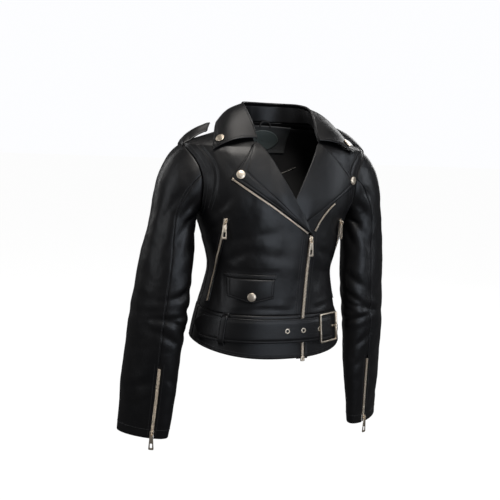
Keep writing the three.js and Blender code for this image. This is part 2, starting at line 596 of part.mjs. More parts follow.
// Cuff zips: teeth between the two sleeve panels, closed, with the slider at the hem.
for (const [name, side] of [["right", -1], ["left", 1]]) {
  const at = (s) => sleeve(side, CUFF_TURN, s);
  const out = (s) => {
    const around = sleeve(side, CUFF_TURN + 3, s).sub(sleeve(side, CUFF_TURN - 3, s));
    const down = at(s + 0.01).sub(at(s - 0.01));
    return around.cross(down).normalize().multiplyScalar(side);
  };
  const line = (v) => {
    const s = mix(0.995, zipStart + 0.004, v);
    const way = at(s - 0.01).sub(at(s)).normalize();
    return [at(s), out(Math.min(s, 0.985)), way.cross(out(Math.min(s, 0.985))).normalize()];
  };
  const half = CHAIN_WIDTH / 2;
  add(`cuff_zip_chain_${name}`, strip(line, -half, half, GAP - CHAIN_DEPTH, GAP, 8), metal);
  const [point, normal] = line(0.06);
  const up = line(0.3)[0].sub(line(0)[0]).normalize();
  addSlider(`cuff_zip_${name}`, point.addScaledVector(normal, SLIDER_LIFT), normal, up);
}

// ---- Belt: strap, buckle, its tab and loops ----
const BELT_MIDDLE = BAND_TOP - 5.5 - BELT_WIDTH / 2;
const STRAP_END = 110;
const TAB_LIFT = 0.8 * wide + 0.15 * (BELT_WIDTH - 50); // a taller or wider tab bridges more of the curve
add("belt_strap", slab((u, v, face) => {
  const to = turnAt(STRAP_END * wide, BELT_MIDDLE);
  const point = 1 - 2 * Math.abs(v - 0.5);
  const turn = mix(-70 - 16 * point, to, u);
  return shell(turn, BELT_MIDDLE + (v - 0.5) * BELT_WIDTH, BELT_LIFT + (face ? 0 : TWO_PLY));
}, 26, 2), leather);
const buckleX = 100 * wide;
const buckleTurn = turnAt(buckleX, BELT_MIDDLE);
const FRAME_LIFT = BELT_LIFT + 1.4;
const [bw, bh, bar] = [BUCKLE.width / 2, BUCKLE.height / 2, BUCKLE.front];
const buckle = onShell(buckleTurn, BELT_MIDDLE, FRAME_LIFT);
const ring = new THREE.Shape(flat([
  [-bw, -bh + 3], [-bw + 3, -bh], [bw, -bh], [bw, bh], [-bw + 3, bh], [-bw, bh - 3],
]));
const [windowX, windowY] = [bw - bar, bh - bar];
ring.holes.push(new THREE.Path(flat([
  [-windowX, -windowY], [-windowX, windowY], [windowX, windowY], [windowX, -windowY],
])));
const heelAt = [bw - bar / 2, 0, bar / 2];
const rollerLength = BUCKLE.height - 2 * bar + 0.4;
const roller = new THREE.CylinderGeometry(BUCKLE.heel, BUCKLE.heel, rollerLength, 16).translate(...heelAt);
const bars = new THREE.ExtrudeGeometry(ring, { depth: bar, bevelEnabled: false });
const eyeRoom = new THREE.CylinderGeometry(BUCKLE.heel + 2, BUCKLE.heel + 2, 7, 16).translate(...heelAt);
const neckBar = new THREE.CylinderGeometry(1.9, 1.9, 8, 16).translate(...heelAt);
const roomyFrame = toSolid(joined(bars, roller)).subtract(toSolid(eyeRoom));
add("buckle_frame", fromSolid(roomyFrame.add(toSolid(neckBar))), metal, buckle);
const eyeOuter = new THREE.CylinderGeometry(3.9, 3.9, 5, 16).translate(...heelAt);
const eyeInner = new THREE.CylinderGeometry(2.3, 2.3, 6, 16).translate(...heelAt);
const blade = boxAt(BUCKLE.width - 6, 2.8, 1.6, 0, 0, 0).rotateY(-0.08).translate(0, 0, -4.1);
add("buckle_prong", cut(joined(eyeOuter, blade), eyeInner), metal, buckle);
add("belt_buckle_tab", slab((u, v, face) => {
  const from = turnAt((STRAP_END + 3) * wide, BELT_MIDDLE);
  const shape = mix(from, 84, u);
  return shell(shape, BELT_MIDDLE + (v - 0.5) * (BELT_WIDTH - 6), face ? TAB_LIFT : TAB_LIFT + LEATHER);
}, 8, 1), leather);
function loopGeometry(turn) {
  const top = BELT_LIFT + TWO_PLY + 0.7;
  const half = BELT_WIDTH / 2;
  const rows = [
    [-half - 9, 0.8], [-half - 5, 0.8], [-half - 0.8, top],
    [half + 0.8, top], [half + 5, 0.8], [half + 8, 0.8],
  ];
  return slab((u, v, face) => {
    const [up, lift] = rows[Math.round(v * (rows.length - 1))];
    const across = THREE.MathUtils.radToDeg(6 / 140);
    return shell(turn + mix(-across, across, u), BELT_MIDDLE + up, lift + (face ? 0 : LEATHER));
  }, 2, rows.length - 1);
}
add("belt_loop_right", loopGeometry(turnAt(-117 * wide, BELT_MIDDLE)), leather);

// ---- Shoulder straps: sewn in at the armhole, free at the neck end ----
for (const [name, side] of [["right", -1], ["left", 1]]) {
  const rise = smoothRows([
    [0, 201, armTop - 1.2], [0.1, 196, armTop + 8], [0.55, 168, armTop + 31], [1, 139, armTop + 44],
  ]);
  add(`epaulette_${name}`, slab((u, v, face) => {
    const point = 1 - Math.abs(2 * v - 1);
    const [, x, z] = rise(u * (0.86 + 0.14 * point));
    const half = mix(19, 15, u);
    const down = 3 * (1 - point) ** 2;
    const [inward, under] = face ? [0.8, TWO_PLY] : [0, 0];
    return new THREE.Vector3(side * (x * wide - inward), AXIS_Y + mix(-half, half, v), z - down - under);
  }, 8, 4), leather);
}

// ---- Hanger loop ----
const LOOP_HALF = 1.25;
const loopSeat = inBack(12, FACING_TOP, FACING_LIFT - 1).y - LOOP_HALF - GAP;
const hang = new THREE.CatmullRomCurve3([[-12, -12, 1], [-11, -6.5, 1], [-7, -0.8, 0.5], [0, 1.25, 0],
  [7, -0.8, 0.5], [11, -6.5, 1], [12, -12, 1]]
  .map(([x, z, back]) => new THREE.Vector3(x, back * loopSeat, z)));
const h = LOOP_HALF;
const ribbon = new THREE.Shape(flat([[-h, -h], [h, -h], [h, h], [-h, h]]));
const sweep = { extrudePath: hang, steps: 20, bevelEnabled: false };
add("hanger_loop", new THREE.ExtrudeGeometry(ribbon, sweep), tape);

export default jacket;
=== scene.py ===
# %% [markdown]
# A cropped leather riding jacket, standing as it does when it is worn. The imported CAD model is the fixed
# frame: it gives the places, the sizes and everything that moves. This script makes the looks on top of
# it: soft leather with grain and folds, rolled lapels, stitches, zip teeth and polished fittings.

import math

import bmesh
import bpy
import numpy as np
from mathutils import Matrix, Vector, noise


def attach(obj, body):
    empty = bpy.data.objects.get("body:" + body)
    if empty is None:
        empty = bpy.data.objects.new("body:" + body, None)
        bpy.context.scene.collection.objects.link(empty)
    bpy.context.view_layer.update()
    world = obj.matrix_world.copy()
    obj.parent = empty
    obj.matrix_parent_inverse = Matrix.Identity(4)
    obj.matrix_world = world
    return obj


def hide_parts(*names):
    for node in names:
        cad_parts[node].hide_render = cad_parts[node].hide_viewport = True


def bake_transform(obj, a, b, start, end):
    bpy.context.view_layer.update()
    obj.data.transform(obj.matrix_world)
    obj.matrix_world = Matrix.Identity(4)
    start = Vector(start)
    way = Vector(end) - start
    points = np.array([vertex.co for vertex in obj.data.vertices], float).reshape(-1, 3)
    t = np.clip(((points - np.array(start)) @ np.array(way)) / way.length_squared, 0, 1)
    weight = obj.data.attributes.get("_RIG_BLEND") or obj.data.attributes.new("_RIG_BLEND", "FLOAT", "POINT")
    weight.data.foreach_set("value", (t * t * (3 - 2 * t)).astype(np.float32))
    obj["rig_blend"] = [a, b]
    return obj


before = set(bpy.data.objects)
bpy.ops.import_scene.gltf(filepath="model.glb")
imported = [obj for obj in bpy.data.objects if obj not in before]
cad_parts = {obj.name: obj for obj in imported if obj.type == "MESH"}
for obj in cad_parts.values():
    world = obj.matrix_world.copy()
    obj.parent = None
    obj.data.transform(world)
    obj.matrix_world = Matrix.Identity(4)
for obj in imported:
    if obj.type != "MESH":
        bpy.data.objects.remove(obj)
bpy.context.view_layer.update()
MM = 0.001
scene = bpy.context.scene

# %% [markdown]
# Shader maths reads best as ordinary arithmetic. A small class wraps a socket, so that an expression
# such as 1 - mask * 0.5 adds its Math nodes by itself. Every other node comes from one method.

# %% A material written as expressions
class Value:
    def __init__(self, paint, socket):
        self.paint, self.socket = paint, socket

    def _math(self, operation, a, b):
        return self.paint.node("ShaderNodeMath", {"operation": operation}, {0: a, 1: b})

    def __add__(self, other): return self._math("ADD", self, other)
    def __radd__(self, other): return self._math("ADD", other, self)
    def __sub__(self, other): return self._math("SUBTRACT", self, other)
    def __rsub__(self, other): return self._math("SUBTRACT", other, self)
    def __mul__(self, other): return self._math("MULTIPLY", self, other)
    def __rmul__(self, other): return self._math("MULTIPLY", other, self)


class Paint:
    def __init__(self, name, **constants):
        self.material = bpy.data.materials.new(name)
        self.material.use_nodes = True
        self.tree = self.material.node_tree
        self.shader = self.tree.nodes["Principled BSDF"]
        for socket, value in constants.items():
            self.shader.inputs[socket.replace("_", " ")].default_value = value

    def node(self, kind, settings=None, inputs=None, output=0):
        made = self.tree.nodes.new(kind)
        for key, value in (settings or {}).items():
            if key == "stops":
                ramp = made.color_ramp.elements
                for element, (place, shade) in zip(ramp, value):
                    element.position, element.color = place, shade
            else:
                setattr(made, key, value)
        for key, value in (inputs or {}).items():
            self.link(value, made.inputs[key])
        return Value(self, made.outputs[output])

    def link(self, value, socket):
        if isinstance(value, Value):
            self.tree.links.new(value.socket, socket)
        else:
            socket.default_value = value

    def place(self, scale=(1, 1, 1)):
        where = self.node("ShaderNodeTexCoord", output=3)
        return self.node("ShaderNodeMapping", {}, {"Vector": where, "Scale": scale})

    def noise(self, where, scale, detail=2.0, rough=0.5):
        return self.node("ShaderNodeTexNoise", {},
                         {"Vector": where, "Scale": scale, "Detail": detail, "Roughness": rough})

    def ramp(self, value, low, high):
        """0 below low, 1 above high."""
        stops = [(low, (0, 0, 0, 1)), (high, (1, 1, 1, 1))]
        return self.node("ShaderNodeValToRGB", {"stops": stops}, {"Fac": value})

    def mix(self, factor, a, b):
        return self.node("ShaderNodeMix", {"data_type": "RGBA"}, {"Factor": factor, "A": a, "B": b}, output=2)

    def finish(self, colour=None, roughness=None, height=None, bump=0.3, depth=0.0002):
        if colour is not None:
            self.link(colour, self.shader.inputs["Base Color"])
        if roughness is not None:
            self.link(roughness, self.shader.inputs["Roughness"])
        if height is not None:
            normal = self.node("ShaderNodeBump", {}, {"Height": height, "Strength": bump, "Distance": depth})
            self.link(normal, self.shader.inputs["Normal"])
        return self.material


# %% [markdown]
# The jacket's leather is a smooth black skin with a fine pebble. Cells a little under a millimetre give
# the pebble, a slow noise lets the polish wander from hand-worn to dull, and thin creases break it up.
# Image textures would need a file, so cells and noise are used, in object space, which needs no UV map.

# %% Leather
def make_leather(name, dark, light, rough_low, rough_high, pebble=1150, bump=0.32):
    paint = Paint(name, Specular_IOR_Level=0.42)
    where = paint.place()
    cells = paint.node("ShaderNodeTexVoronoi", {"feature": "SMOOTH_F1"},
                       {"Vector": where, "Scale": pebble, "Smoothness": 0.6})
    pores = paint.noise(where, pebble * 2.3, 2.0)
    wear = paint.noise(where, 14.0, 4.0, 0.6)
    creased = paint.noise(where, 85.0, 5.0, 0.65)
    rumpled = paint.noise(paint.place((1, 1, 0.7)), 34.0, 3.0, 0.55)
    colour = paint.mix(paint.ramp(wear, 0.35, 0.72), dark, light)
    roughness = rough_low + (rough_high - rough_low) * wear + 0.06 * cells
    height = 1 - cells * 0.8 + pores * 0.25 + creased * 2.6 + rumpled * 2.4
    return paint.finish(colour, roughness, height, bump, 0.00022)


leather = make_leather("black_leather", (0.0030, 0.0030, 0.0036, 1), (0.0062, 0.0058, 0.0062, 1), 0.30, 0.44)
facing_leather = make_leather("neck_facing_leather", (0.040, 0.042, 0.043, 1), (0.062, 0.064, 0.065, 1),
                              0.36, 0.48)
label_leather = make_leather("label_patch", (0.060, 0.075, 0.074, 1), (0.088, 0.105, 0.102, 1),
                             0.35, 0.5, 900, 0.15)
print("leathers:", leather.name, facing_leather.name, label_leather.name)

# %% [markdown]
# Woven cloth shows in the lining, the pocket bags and the zip tape. Two crossed wave bands make a twill
# that is fine enough to read as cloth only from close by.

# %% Cloth
def make_cloth(name, dark, light, threads, roughness):
    paint = Paint(name, Roughness=roughness)
    where = paint.place()
    over, along = (paint.node("ShaderNodeTexWave", {"bands_direction": way},
                              {"Vector": where, "Scale": threads * share})
                   for way, share in (("DIAGONAL", 1), ("Z", 0.6)))
    weave = paint.node("ShaderNodeMix", {"data_type": "FLOAT"}, {"Factor": 0.4, "A": over, "B": along})
    slub = paint.noise(where, 60.0, 3.0)
    colour = paint.mix(weave * 0.6 + slub * 0.4, dark, light)
    return paint.finish(colour, roughness + 0.1 * slub, weave, 0.25, 0.00015)


lining_cloth = make_cloth("lining_twill", (0.003, 0.003, 0.0035, 1), (0.009, 0.009, 0.010, 1), 420, 0.55)
tape_cloth = make_cloth("zip_tape_weave", (0.004, 0.004, 0.005, 1), (0.012, 0.012, 0.013, 1), 700, 0.8)

# %% [markdown]
# The fittings are plated in a pale champagne gold. A polished plating still has a faint brushed grain, a
# little dulling where hands touch it, and darker spots, so colour and roughness both follow noise. The
# zip teeth get a duller plating, because small polished faces only show as noise.

# %% Plated metal and thread
def make_plating(name, colour, dull, rough):
    paint = Paint(name, Metallic=1.0)
    where = paint.place()
    smear = paint.noise(where, 160.0, 3.0)
    grain = paint.noise(paint.place((1, 1, 0.12)), 3800.0, 2.0)
    tinted = paint.mix(smear * 0.7, colour, dull)
    return paint.finish(tinted, rough + 0.16 * smear + 0.06 * grain, grain, 0.12, 0.00005)


plating = make_plating("champagne_plating", (0.92, 0.80, 0.65, 1), (0.78, 0.66, 0.52, 1), 0.26)
tooth_plating = make_plating("zip_tooth_plating", (0.93, 0.82, 0.68, 1), (0.80, 0.69, 0.56, 1), 0.40)
# The thread's colour is lifted to a dark grey: its own black plus a painted sheen, so the stitches show on
# the black leather.
thread = make_leather("black_thread_with_painted_sheen", (0.030, 0.030, 0.032, 1), (0.060, 0.060, 0.063, 1),
                      0.42, 0.55, 2600, 0.4)

# %% [markdown]
# The body follows one rule. Each level is a superellipse, and its width and two depths run smoothly from
# the hem through the waist, chest and shoulders to the neck. The same sizes stand in the CAD source.

# %% The body's surface
SLEEVE_LENGTH = 460.0
AXIS_Y, SQUARE = -59.0, 2.4
SECTIONS = np.array([
    (-480, 163, 122, 118), (-440, 158, 119, 113), (-383, 147, 116, 104), (-340, 136, 115.5, 95),
    (-300, 130, 116, 90), (-262, 138, 117, 92), (-224, 150, 118, 96), (-190, 160, 118.5, 101),
    (-150, 177, 117, 105), (-120, 186, 112, 106), (-85, 194, 103, 103), (-60, 198, 95, 98),
    (-50, 196, 90, 94), (-42, 177, 85, 90), (-34, 153, 80, 85), (-23, 121, 73, 78),
    (-14, 97, 68, 73), (-4, 77, 63, 67), (6, 66, 58, 62)], float)


def smooth_rows(rows):
    """A curve through rows of numbers that never overshoots between them."""
    rows = np.asarray(rows, float)
    x, y = rows[:, 0], rows[:, 1:]
    secant = np.diff(y, axis=0) / np.diff(x)[:, None]
    slope = np.zeros_like(y)
    slope[0], slope[-1] = secant[0], secant[-1]
    both = secant[:-1] * secant[1:]
    total = secant[:-1] + secant[1:]
    slope[1:-1] = np.where(both > 0, 2 * both / np.where(total == 0, 1, total), 0)

    def read(at):
        at = np.clip(np.asarray(at, float), x[0], x[-1])
        i = np.clip(np.searchsorted(x, at, side="left") - 1, 0, len(x) - 2)
        span = x[i + 1] - x[i]
        t = ((at - x[i]) / span)[..., None]
        span = span[..., None]
        return ((1 + 2 * t) * (1 - t) ** 2 * y[i] + t * (1 - t) ** 2 * span * slope[i]
                + t * t * (3 - 2 * t) * y[i + 1] + t * t * (t - 1) * span * slope[i + 1])
    return read


section = smooth_rows(SECTIONS)


def reach(value):
    return np.sign(value) * np.abs(value) ** (2 / SQUARE)


def skin(turn, z):
    turn, z = np.broadcast_arrays(np.asarray(turn, float), np.asarray(z, float))
    wide, front, back = np.moveaxis(section(z), -1, 0)
    s, c = np.sin(np.radians(turn)), np.cos(np.radians(turn))
    return np.stack([wide * reach(s), AXIS_Y - np.where(c > 0, front, back) * reach(c), z], -1)


def unit(v):
    return v / np.maximum(np.linalg.norm(v, axis=-1, keepdims=True), 1e-9)


def out_of_body(turn, z):
    turn, z = np.asarray(turn, float), np.asarray(z, float)
    step = 0.6
    across = skin(turn + step, z) - skin(turn - step, z)
    return unit(np.cross(across, skin(turn, z + step) - skin(turn, z - step)))


def over_skin(turn, z, lift):
    """Points that stand off the plain body by a lift, without any folds."""
    return skin(turn, z) + out_of_body(turn, z) * np.asarray(lift)[..., None]


def turn_at(x, z):
    share = np.minimum(1, np.abs(x) / section(z)[..., 0]) ** (SQUARE / 2)
    return np.degrees(np.sign(x) * np.arcsin(share))


print("waist half width", round(float(section(-300.0)[0]), 1), "mm")

# %% [markdown]
# Worn leather is never an even shell. Slow swells come from smooth noise, and pinched creases gather
# above the belt and towards the armholes. Each crease is a line with a sharp hollow and a soft roll
# beside it. A cloth simulation would lose the straight edges beside the zips, so the folds are placed.

# %% Folds of the body
def wander(points, size, seed=0.0):
    """Smooth noise between -1 and 1 for many points in millimetres."""
    flat = np.asarray(points, float).reshape(-1, 3) / size + seed
    return np.array([noise.noise(Vector(p)) for p in flat]).reshape(np.shape(points)[:-1])


def crease(dx, dz, slope, width, length, depth):
    """A pinched hollow along a sloping line, with a soft roll on each side and fading ends."""
    along, across = dx * math.cos(slope) + dz * math.sin(slope), -dx * math.sin(slope) + dz * math.cos(slope)
    fade = np.exp(-(along / length) ** 2)
    hollow = -depth * np.exp(-(across / width) ** 2)
    rolls = 0.45 * depth * (np.exp(-((across - 2.1 * width) / (1.5 * width)) ** 2)
                            + np.exp(-((across + 2.1 * width) / (1.5 * width)) ** 2))
    return (hollow + rolls) * fade


ARM_Z, ARM_HIGH, ARM_WIDE = -119.0, 70.0, 62.0
# centre x, z, slope in degrees, width, half length, depth
BODY_CREASES = [
    (-70, -374, 4, 4.5, 34, 1.8), (-20, -371, -5, 5, 30, 1.5), (92, -368, 8, 4.5, 24, 2.0),
    (-140, -212, 52, 6, 26, 2.4), (-152, -238, 38, 6, 22, 2.2), (128, -222, -48, 5.5, 24, 2.6),
    (-60, -222, 12, 9, 40, 1.1), (-30, -262, -14, 10, 46, 1.2), (-92, -262, 30, 8, 30, 1.2),
    (98, -262, -24, 7, 30, 1.8), (106, -300, -12, 6, 26, 1.6), (-128, -165, 62, 7, 26, 1.6),
]


def sewn_dip(share, lines, width, depth=0.55):
    """How deep a row of stitches pulls the leather down at a share of the piece's width."""
    return -depth * sum(np.exp(-((share - line) / width) ** 2) for line in lines)


def still_near(distance, room):
    """0 at a sewn line and 1 well away from it."""
    return 1 - np.exp(-(distance / room) ** 2)


def body_folds(turn, z):
    turn, z = np.broadcast_arrays(np.asarray(turn, float), np.asarray(z, float))
    point = skin(turn, z)
    x = point[..., 0]
    facing = (np.abs((turn + 180) % 360 - 180) < 100)
    total = (1.8 * wander(point * (1, 1, 0.6), 70) + 1.2 * wander(point * (1, 1, 0.8), 26, 5.0)
             + 0.34 * wander(point, 10, 8.0))
    for cx, cz, slope, width, length, depth in BODY_CREASES:
        slope = math.radians(slope)
        total = total + np.where(facing, crease(x - cx, z - cz, slope, width, length, depth), 0)
        behind = crease(x + cx * 0.7, z - cz, slope, width * 1.4, length, depth * 0.8)
        total = total + np.where(facing, 0, behind)
    calm = np.where(facing & (z < -140), still_near(x - 46, 16), 1)
    for side in (-1, 1):
        path = side * np.interp(-z, (190, 234, 278, 322, 366), (46, 56, 69.5, 77, 76))
        near = np.abs(turn - path) * 2.1
        calm = calm * np.where((z < -175) & (z > -380), still_near(near, 15), 1)
    seam_wide, seam_high = ARM_WIDE + 19, ARM_HIGH + 19
    oval = np.hypot((point[..., 1] - AXIS_Y) / seam_wide, (z - ARM_Z) / seam_high) - 1
    by_arm = facing & (np.abs(x) > 90) & (z > -150) & (z < -46)
    shoulder = np.where(by_arm, np.exp(-(oval * 80 / 1.5) ** 2), 0)
    flap = (x > -118) & (x < -16) & (z > -368) & (z < -292) & facing
    calm = np.where(flap, calm * 0.25, calm)
    calm = calm * still_near(z + 383, 10) * np.where(z > -40, 0.4, 1)
    return total * calm - 0.4 - 1.0 * shoulder


def leather_at(turn, z, lift=0.0):
    return over_skin(turn, z, lift + body_folds(turn, z))


def over_front(x, z, lift=0.0):
    x, z = np.broadcast_arrays(np.asarray(x, float), np.asarray(z, float))
    return leather_at(turn_at(x, z), z, lift)


# %% [markdown]
# Every leather piece is a grid of points that gets a thickness. The rim is rounded by easing the last
# millimetres of the face down, as a turned and pressed edge is.

# %% A grid of points made into a sheet
def eased(count, rim=0.006):
    """Shares from 0 to 1 that crowd towards both ends, where the rim is rounded."""
    near = [0, rim, 2.5 * rim]
    inner = np.linspace(5 * rim, 1 - 5 * rim, count)
    return np.concatenate([near, inner, [1 - share for share in near[::-1]]])


def grid_normals(points, closed=False, away=None):
    """Normals of a grid of points, turned so that they lead away from a point on the piece's own axis."""
    if closed:
        across = np.roll(points, -1, 1) - np.roll(points, 1, 1)
    else:
        across = np.gradient(points, axis=1)
    normals = unit(np.cross(across, np.gradient(points, axis=0)))
    centre = np.array((0, AXIS_Y, points[..., 2].mean()) if away is None else away, float)
    return normals if ((points - centre) * normals).sum() > 0 else -normals


def make_piece(name, vertices, faces, material):
    mesh = bpy.data.meshes.new(name)
    mesh.from_pydata((np.asarray(vertices, float) * MM).tolist(), [], faces)
    work = bmesh.new()
    work.from_mesh(mesh)
    bmesh.ops.remove_doubles(work, verts=work.verts, dist=1e-6)
    bmesh.ops.recalc_face_normals(work, faces=work.faces)
    work.to_mesh(mesh)
    work.free()
    mesh.materials.append(material)
    mesh.shade_smooth()
    piece = bpy.data.objects.new(name, mesh)
    scene.collection.objects.link(piece)
    return piece


def make_sheet(name, points, thick, material, closed=False, away=None):
    """points[row][column] is the outer face. A closed sheet joins up across its columns."""
    rows, columns = points.shape[:2]
    normals = grid_normals(points, closed, away)
    down = np.zeros((rows, columns))
    step = np.linalg.norm(np.diff(points, axis=0), axis=-1).mean(1)
    up = np.concatenate([[0], np.cumsum(step)])
    side = np.concatenate([[0], np.cumsum(np.linalg.norm(np.diff(points, axis=1), axis=-1).mean(0))])
    edges = [up[:, None], (up[-1] - up)[:, None]]
    if not closed:
        edges += [side[None], (side[-1] - side)[None]]
    for distance in edges:
        down = np.maximum(down, 0.45 * thick * np.clip(1 - distance / (1.4 * thick), 0, 1) ** 2)
    outer = points - normals * down[..., None]
    inner = points - normals * thick
    index = lambda r, c, face: face * rows * columns + r * columns + (c % columns)
    faces = []
    last = columns if closed else columns - 1
    for r in range(rows - 1):
        for c in range(last):
            faces.append((index(r, c, 0), index(r, c + 1, 0), index(r + 1, c + 1, 0), index(r + 1, c, 0)))
            faces.append((index(r, c, 1), index(r + 1, c, 1), index(r + 1, c + 1, 1), index(r, c + 1, 1)))
    if closed:
        for r in (0, rows - 1):
            for c in range(columns):
                faces.append((index(r, c, 0), index(r, c + 1, 0), index(r, c + 1, 1), index(r, c, 1)))
    else:
        loop = ([(0, c) for c in range(columns)] + [(r, columns - 1) for r in range(1, rows)]
                + [(rows - 1, c) for c in range(columns - 2, -1, -1)]
                + [(r, 0) for r in range(rows - 2, 0, -1)])
        for (r0, c0), (r1, c1) in zip(loop, loop[1:] + loop[:1]):
            faces.append((index(r0, c0, 0), index(r1, c1, 0), index(r1, c1, 1), index(r0, c0, 1)))
    vertices = np.concatenate([outer.reshape(-1, 3), inner.reshape(-1, 3)])
    return make_piece(name, vertices, faces, material)


def sheet_area(points):
    a = np.cross(points[1:, 1:] - points[:-1, :-1], points[1:, :-1] - points[:-1, 1:])
    return float(np.linalg.norm(a, axis=-1).sum() / 2) * MM * MM


def declare(piece, points, node, body="jacket"):
    """Seats a sheet on its body, hides the CAD part that it replaces, and prints the size it was cut to."""
    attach(piece, body)
    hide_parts(node)
    width = float(np.linalg.norm(np.diff(points, axis=1), axis=-1).sum(1).max()) * MM
    length = float(np.linalg.norm(np.diff(points, axis=0), axis=-1).sum(0).max()) * MM
    narrowest = 0.0102
    width, length = max(round(width, 3), narrowest), max(round(length, 3), narrowest)
    area = np.clip(sheet_area(points), 0.31 * width * length, 0.99 * width * length)
    print(f"{piece.name}: {width:.3f} x {length:.3f} m")
    return piece


stitches = {}


def sew(points, body="jacket"):
    """Remembers a line of stitches, given in millimetres, for the body it moves with."""
    stitches.setdefault(body, []).append(np.asarray(points, float))


# %% [markdown]
# The two fronts are cut to the offset zip below and to the rolled edge of the opening above. Their outer
# edge follows the armhole's oval, so the rows are spaced round that oval where they cross it. The back
# is the same sheet carried round behind, with a yoke across the shoulders.

# %% Lines that the pieces share
HEM, BAND_TOP, YOKE_Z, NECK_Z = -472.0, -383.0, -118.0, -1.5
V_BOTTOM, ZIP_HEAD, ZIP_BAND, ZIP_FOOT = (8, -149), (49, -220), (42, BAND_TOP), (44, HEM)
CHAIN = 6.4


def by_height(rows, z):
    rows = np.asarray(rows, float)
    return np.interp(z, rows[:, 0], rows[:, 1])


def zip_x(z):
    return by_height([ZIP_FOOT[::-1], ZIP_BAND[::-1], ZIP_HEAD[::-1]], z)


def front_edge(side, z):
    closed = zip_x(z) + side * (CHAIN / 2 + 0.4)
    crossing = np.interp(z, [ZIP_HEAD[1], V_BOTTOM[1]], [ZIP_HEAD[0] + side * 3.6, V_BOTTOM[0]])
    rolled = ([(-115, -16), (-63, -41), (-38, -64), (-20, -68), (6, -72)] if side < 0 else
              [(-97, 36), (-57, 56), (-36, 65), (-20, 68), (6, 72)])
    top = by_height([V_BOTTOM[::-1], *rolled], z) + side * 4.5 * np.clip((z - V_BOTTOM[1]) / 15, 0, 1)
    return np.where(z <= ZIP_HEAD[1], closed, np.where(z <= V_BOTTOM[1], crossing, top))


def armhole_turn(z, room=0.0):
    """Where the armhole's edge lies at a height, in degrees from the front, on the front half."""
    t = np.clip(1 - ((z - ARM_Z) / (ARM_HIGH + room)) ** 2, 0, 1)
    y = (ARM_WIDE + room) * np.sqrt(t)
    wide, front, back = np.moveaxis(section(z), -1, 0)
    ahead = np.minimum(0.999, y / front) ** (SQUARE / 2)
    behind = np.minimum(0.999, y / back) ** (SQUARE / 2)
    return np.degrees(np.arccos(ahead)), 180 - np.degrees(np.arccos(behind))


def arm_rows(low, high, count=34):
    """Heights from low to high that crowd where the armhole's oval turns over."""
    around = ARM_Z - ARM_HIGH * np.cos(np.linspace(0, math.pi, count))
    z = np.concatenate([np.linspace(low, ARM_Z - ARM_HIGH, 44)[:-1] if low < ARM_Z - ARM_HIGH else [],
                        around, np.linspace(ARM_Z + ARM_HIGH, high, 16)[1:]])
    inner = z[(z > low + 3) & (z < high - 3)]
    return np.concatenate([[low, low + 0.8, low + 2], inner, [high - 2, high - 0.8, high]])


# %% Front and back panels
for name, side in (("right", -1), ("left", 1)):
    heights = arm_rows(BAND_TOP + 0.3, NECK_Z)
    outer_turn = side * np.minimum(89.8, armhole_turn(heights)[0])
    inner_turn = turn_at(front_edge(side, heights), heights)
    share = eased(66)
    turns = inner_turn[:, None] + (outer_turn - inner_turn)[:, None] * share[None]
    points = leather_at(turns, heights[:, None])
    piece = make_sheet(f"front_{name}", points, 1.5, leather)
    declare(piece, points, f"front_panel_{name}")

for node, low, high in (("back_panel", BAND_TOP + 0.3, YOKE_Z - 0.2), ("back_yoke", YOKE_Z + 0.2, NECK_Z)):
    heights = arm_rows(low, high)
    right = np.maximum(90.2, armhole_turn(heights)[1])
    turns = right[:, None] + (360 - 2 * right)[:, None] * eased(90)[None]
    points = leather_at(turns, heights[:, None])
    declare(make_sheet(f"jacket_{node}", points, 1.5, leather), points, node)

z = np.linspace(BAND_TOP + 4, -214, 110)
for aside in (-15.5, -10.5, 10.5, 16.5):
    sew(over_front(front_edge(-1, z) + aside, z, 0.15))
around = np.linspace(98, 262, 90)
sew(leather_at(around, np.full(90, YOKE_Z + 3.0), 0.15))
sew(leather_at(around, np.full(90, YOKE_Z + 9.0), 0.15))

# %% [markdown]
# The waistband is a firm doubled strip with a flat stitched hem. It lies under the belt, so its stitches
# show only along the hem and beside the zip.

# %% Waistband
def hem_at(turn):
    return HEM + 17 * np.sin(np.radians(turn)) ** 2


def band_sheet(name, node, start, stop, count):
    share, rise = eased(count), eased(14, 0.012)
    turns = start + (stop - start) * share
    z = hem_at(turns)[None] + (BAND_TOP - hem_at(turns))[None] * rise[:, None]
    ripple = 0.5 * wander(skin(np.broadcast_to(turns, z.shape), z), 34, 9.0)
    points = over_skin(turns[None], z, 0.9 + ripple)
    declare(make_sheet(name, points, 3.0, leather), points, node)
    line = np.linspace(start, stop, count * 2)
    for up in (4.0, 9.0):
        sew(over_skin(line, hem_at(line) + up, 1.15))


zip_turn = [turn_at(zip_x(-430.0) + side * 3.8, -430.0) for side in (-1, 1)]
band_sheet("waistband_front_right", "waistband_right", zip_turn[0], -89.8, 60)
band_sheet("waistband_front_left", "waistband_left", zip_turn[1], 89.8, 44)
band_sheet("waistband_behind", "waistband_back", 90.2, 269.8, 90)

# %% [markdown]
# A lapel is the top of a front turned back on itself. Its fold must read as a soft roll and not as a cut
# edge, so the first rows of its grid travel round a half circle from behind the front, and only then lie
# down along the chest. The body's folds are left out under it, because the two plies are stiff.

# %% Lapels
def polyline(points, share):
    points = np.asarray(points, float)
    place = np.linspace(0, 1, len(points))
    return np.stack([np.interp(share, place, points[:, k]) for k in range(points.shape[1])], -1)


def round_corners(points, share, keep=(), count=400, spread=0.02):
    """The broken line with its slight corners softened, except near the shares in keep."""
    dense = np.linspace(0, 1, count)
    raw = polyline(points, dense)
    reach_to = np.exp(-((dense[:, None] - dense[None]) / spread) ** 2)
    soft = (reach_to @ raw) / reach_to.sum(1, keepdims=True)
    hold = np.max([np.exp(-((dense - k) / 0.035) ** 2) for k in (0, 1, *keep)], axis=0)[:, None]
    made = soft * (1 - hold) + raw * hold
    return np.stack([np.interp(share, dense, made[:, k]) for k in range(made.shape[1])], -1)


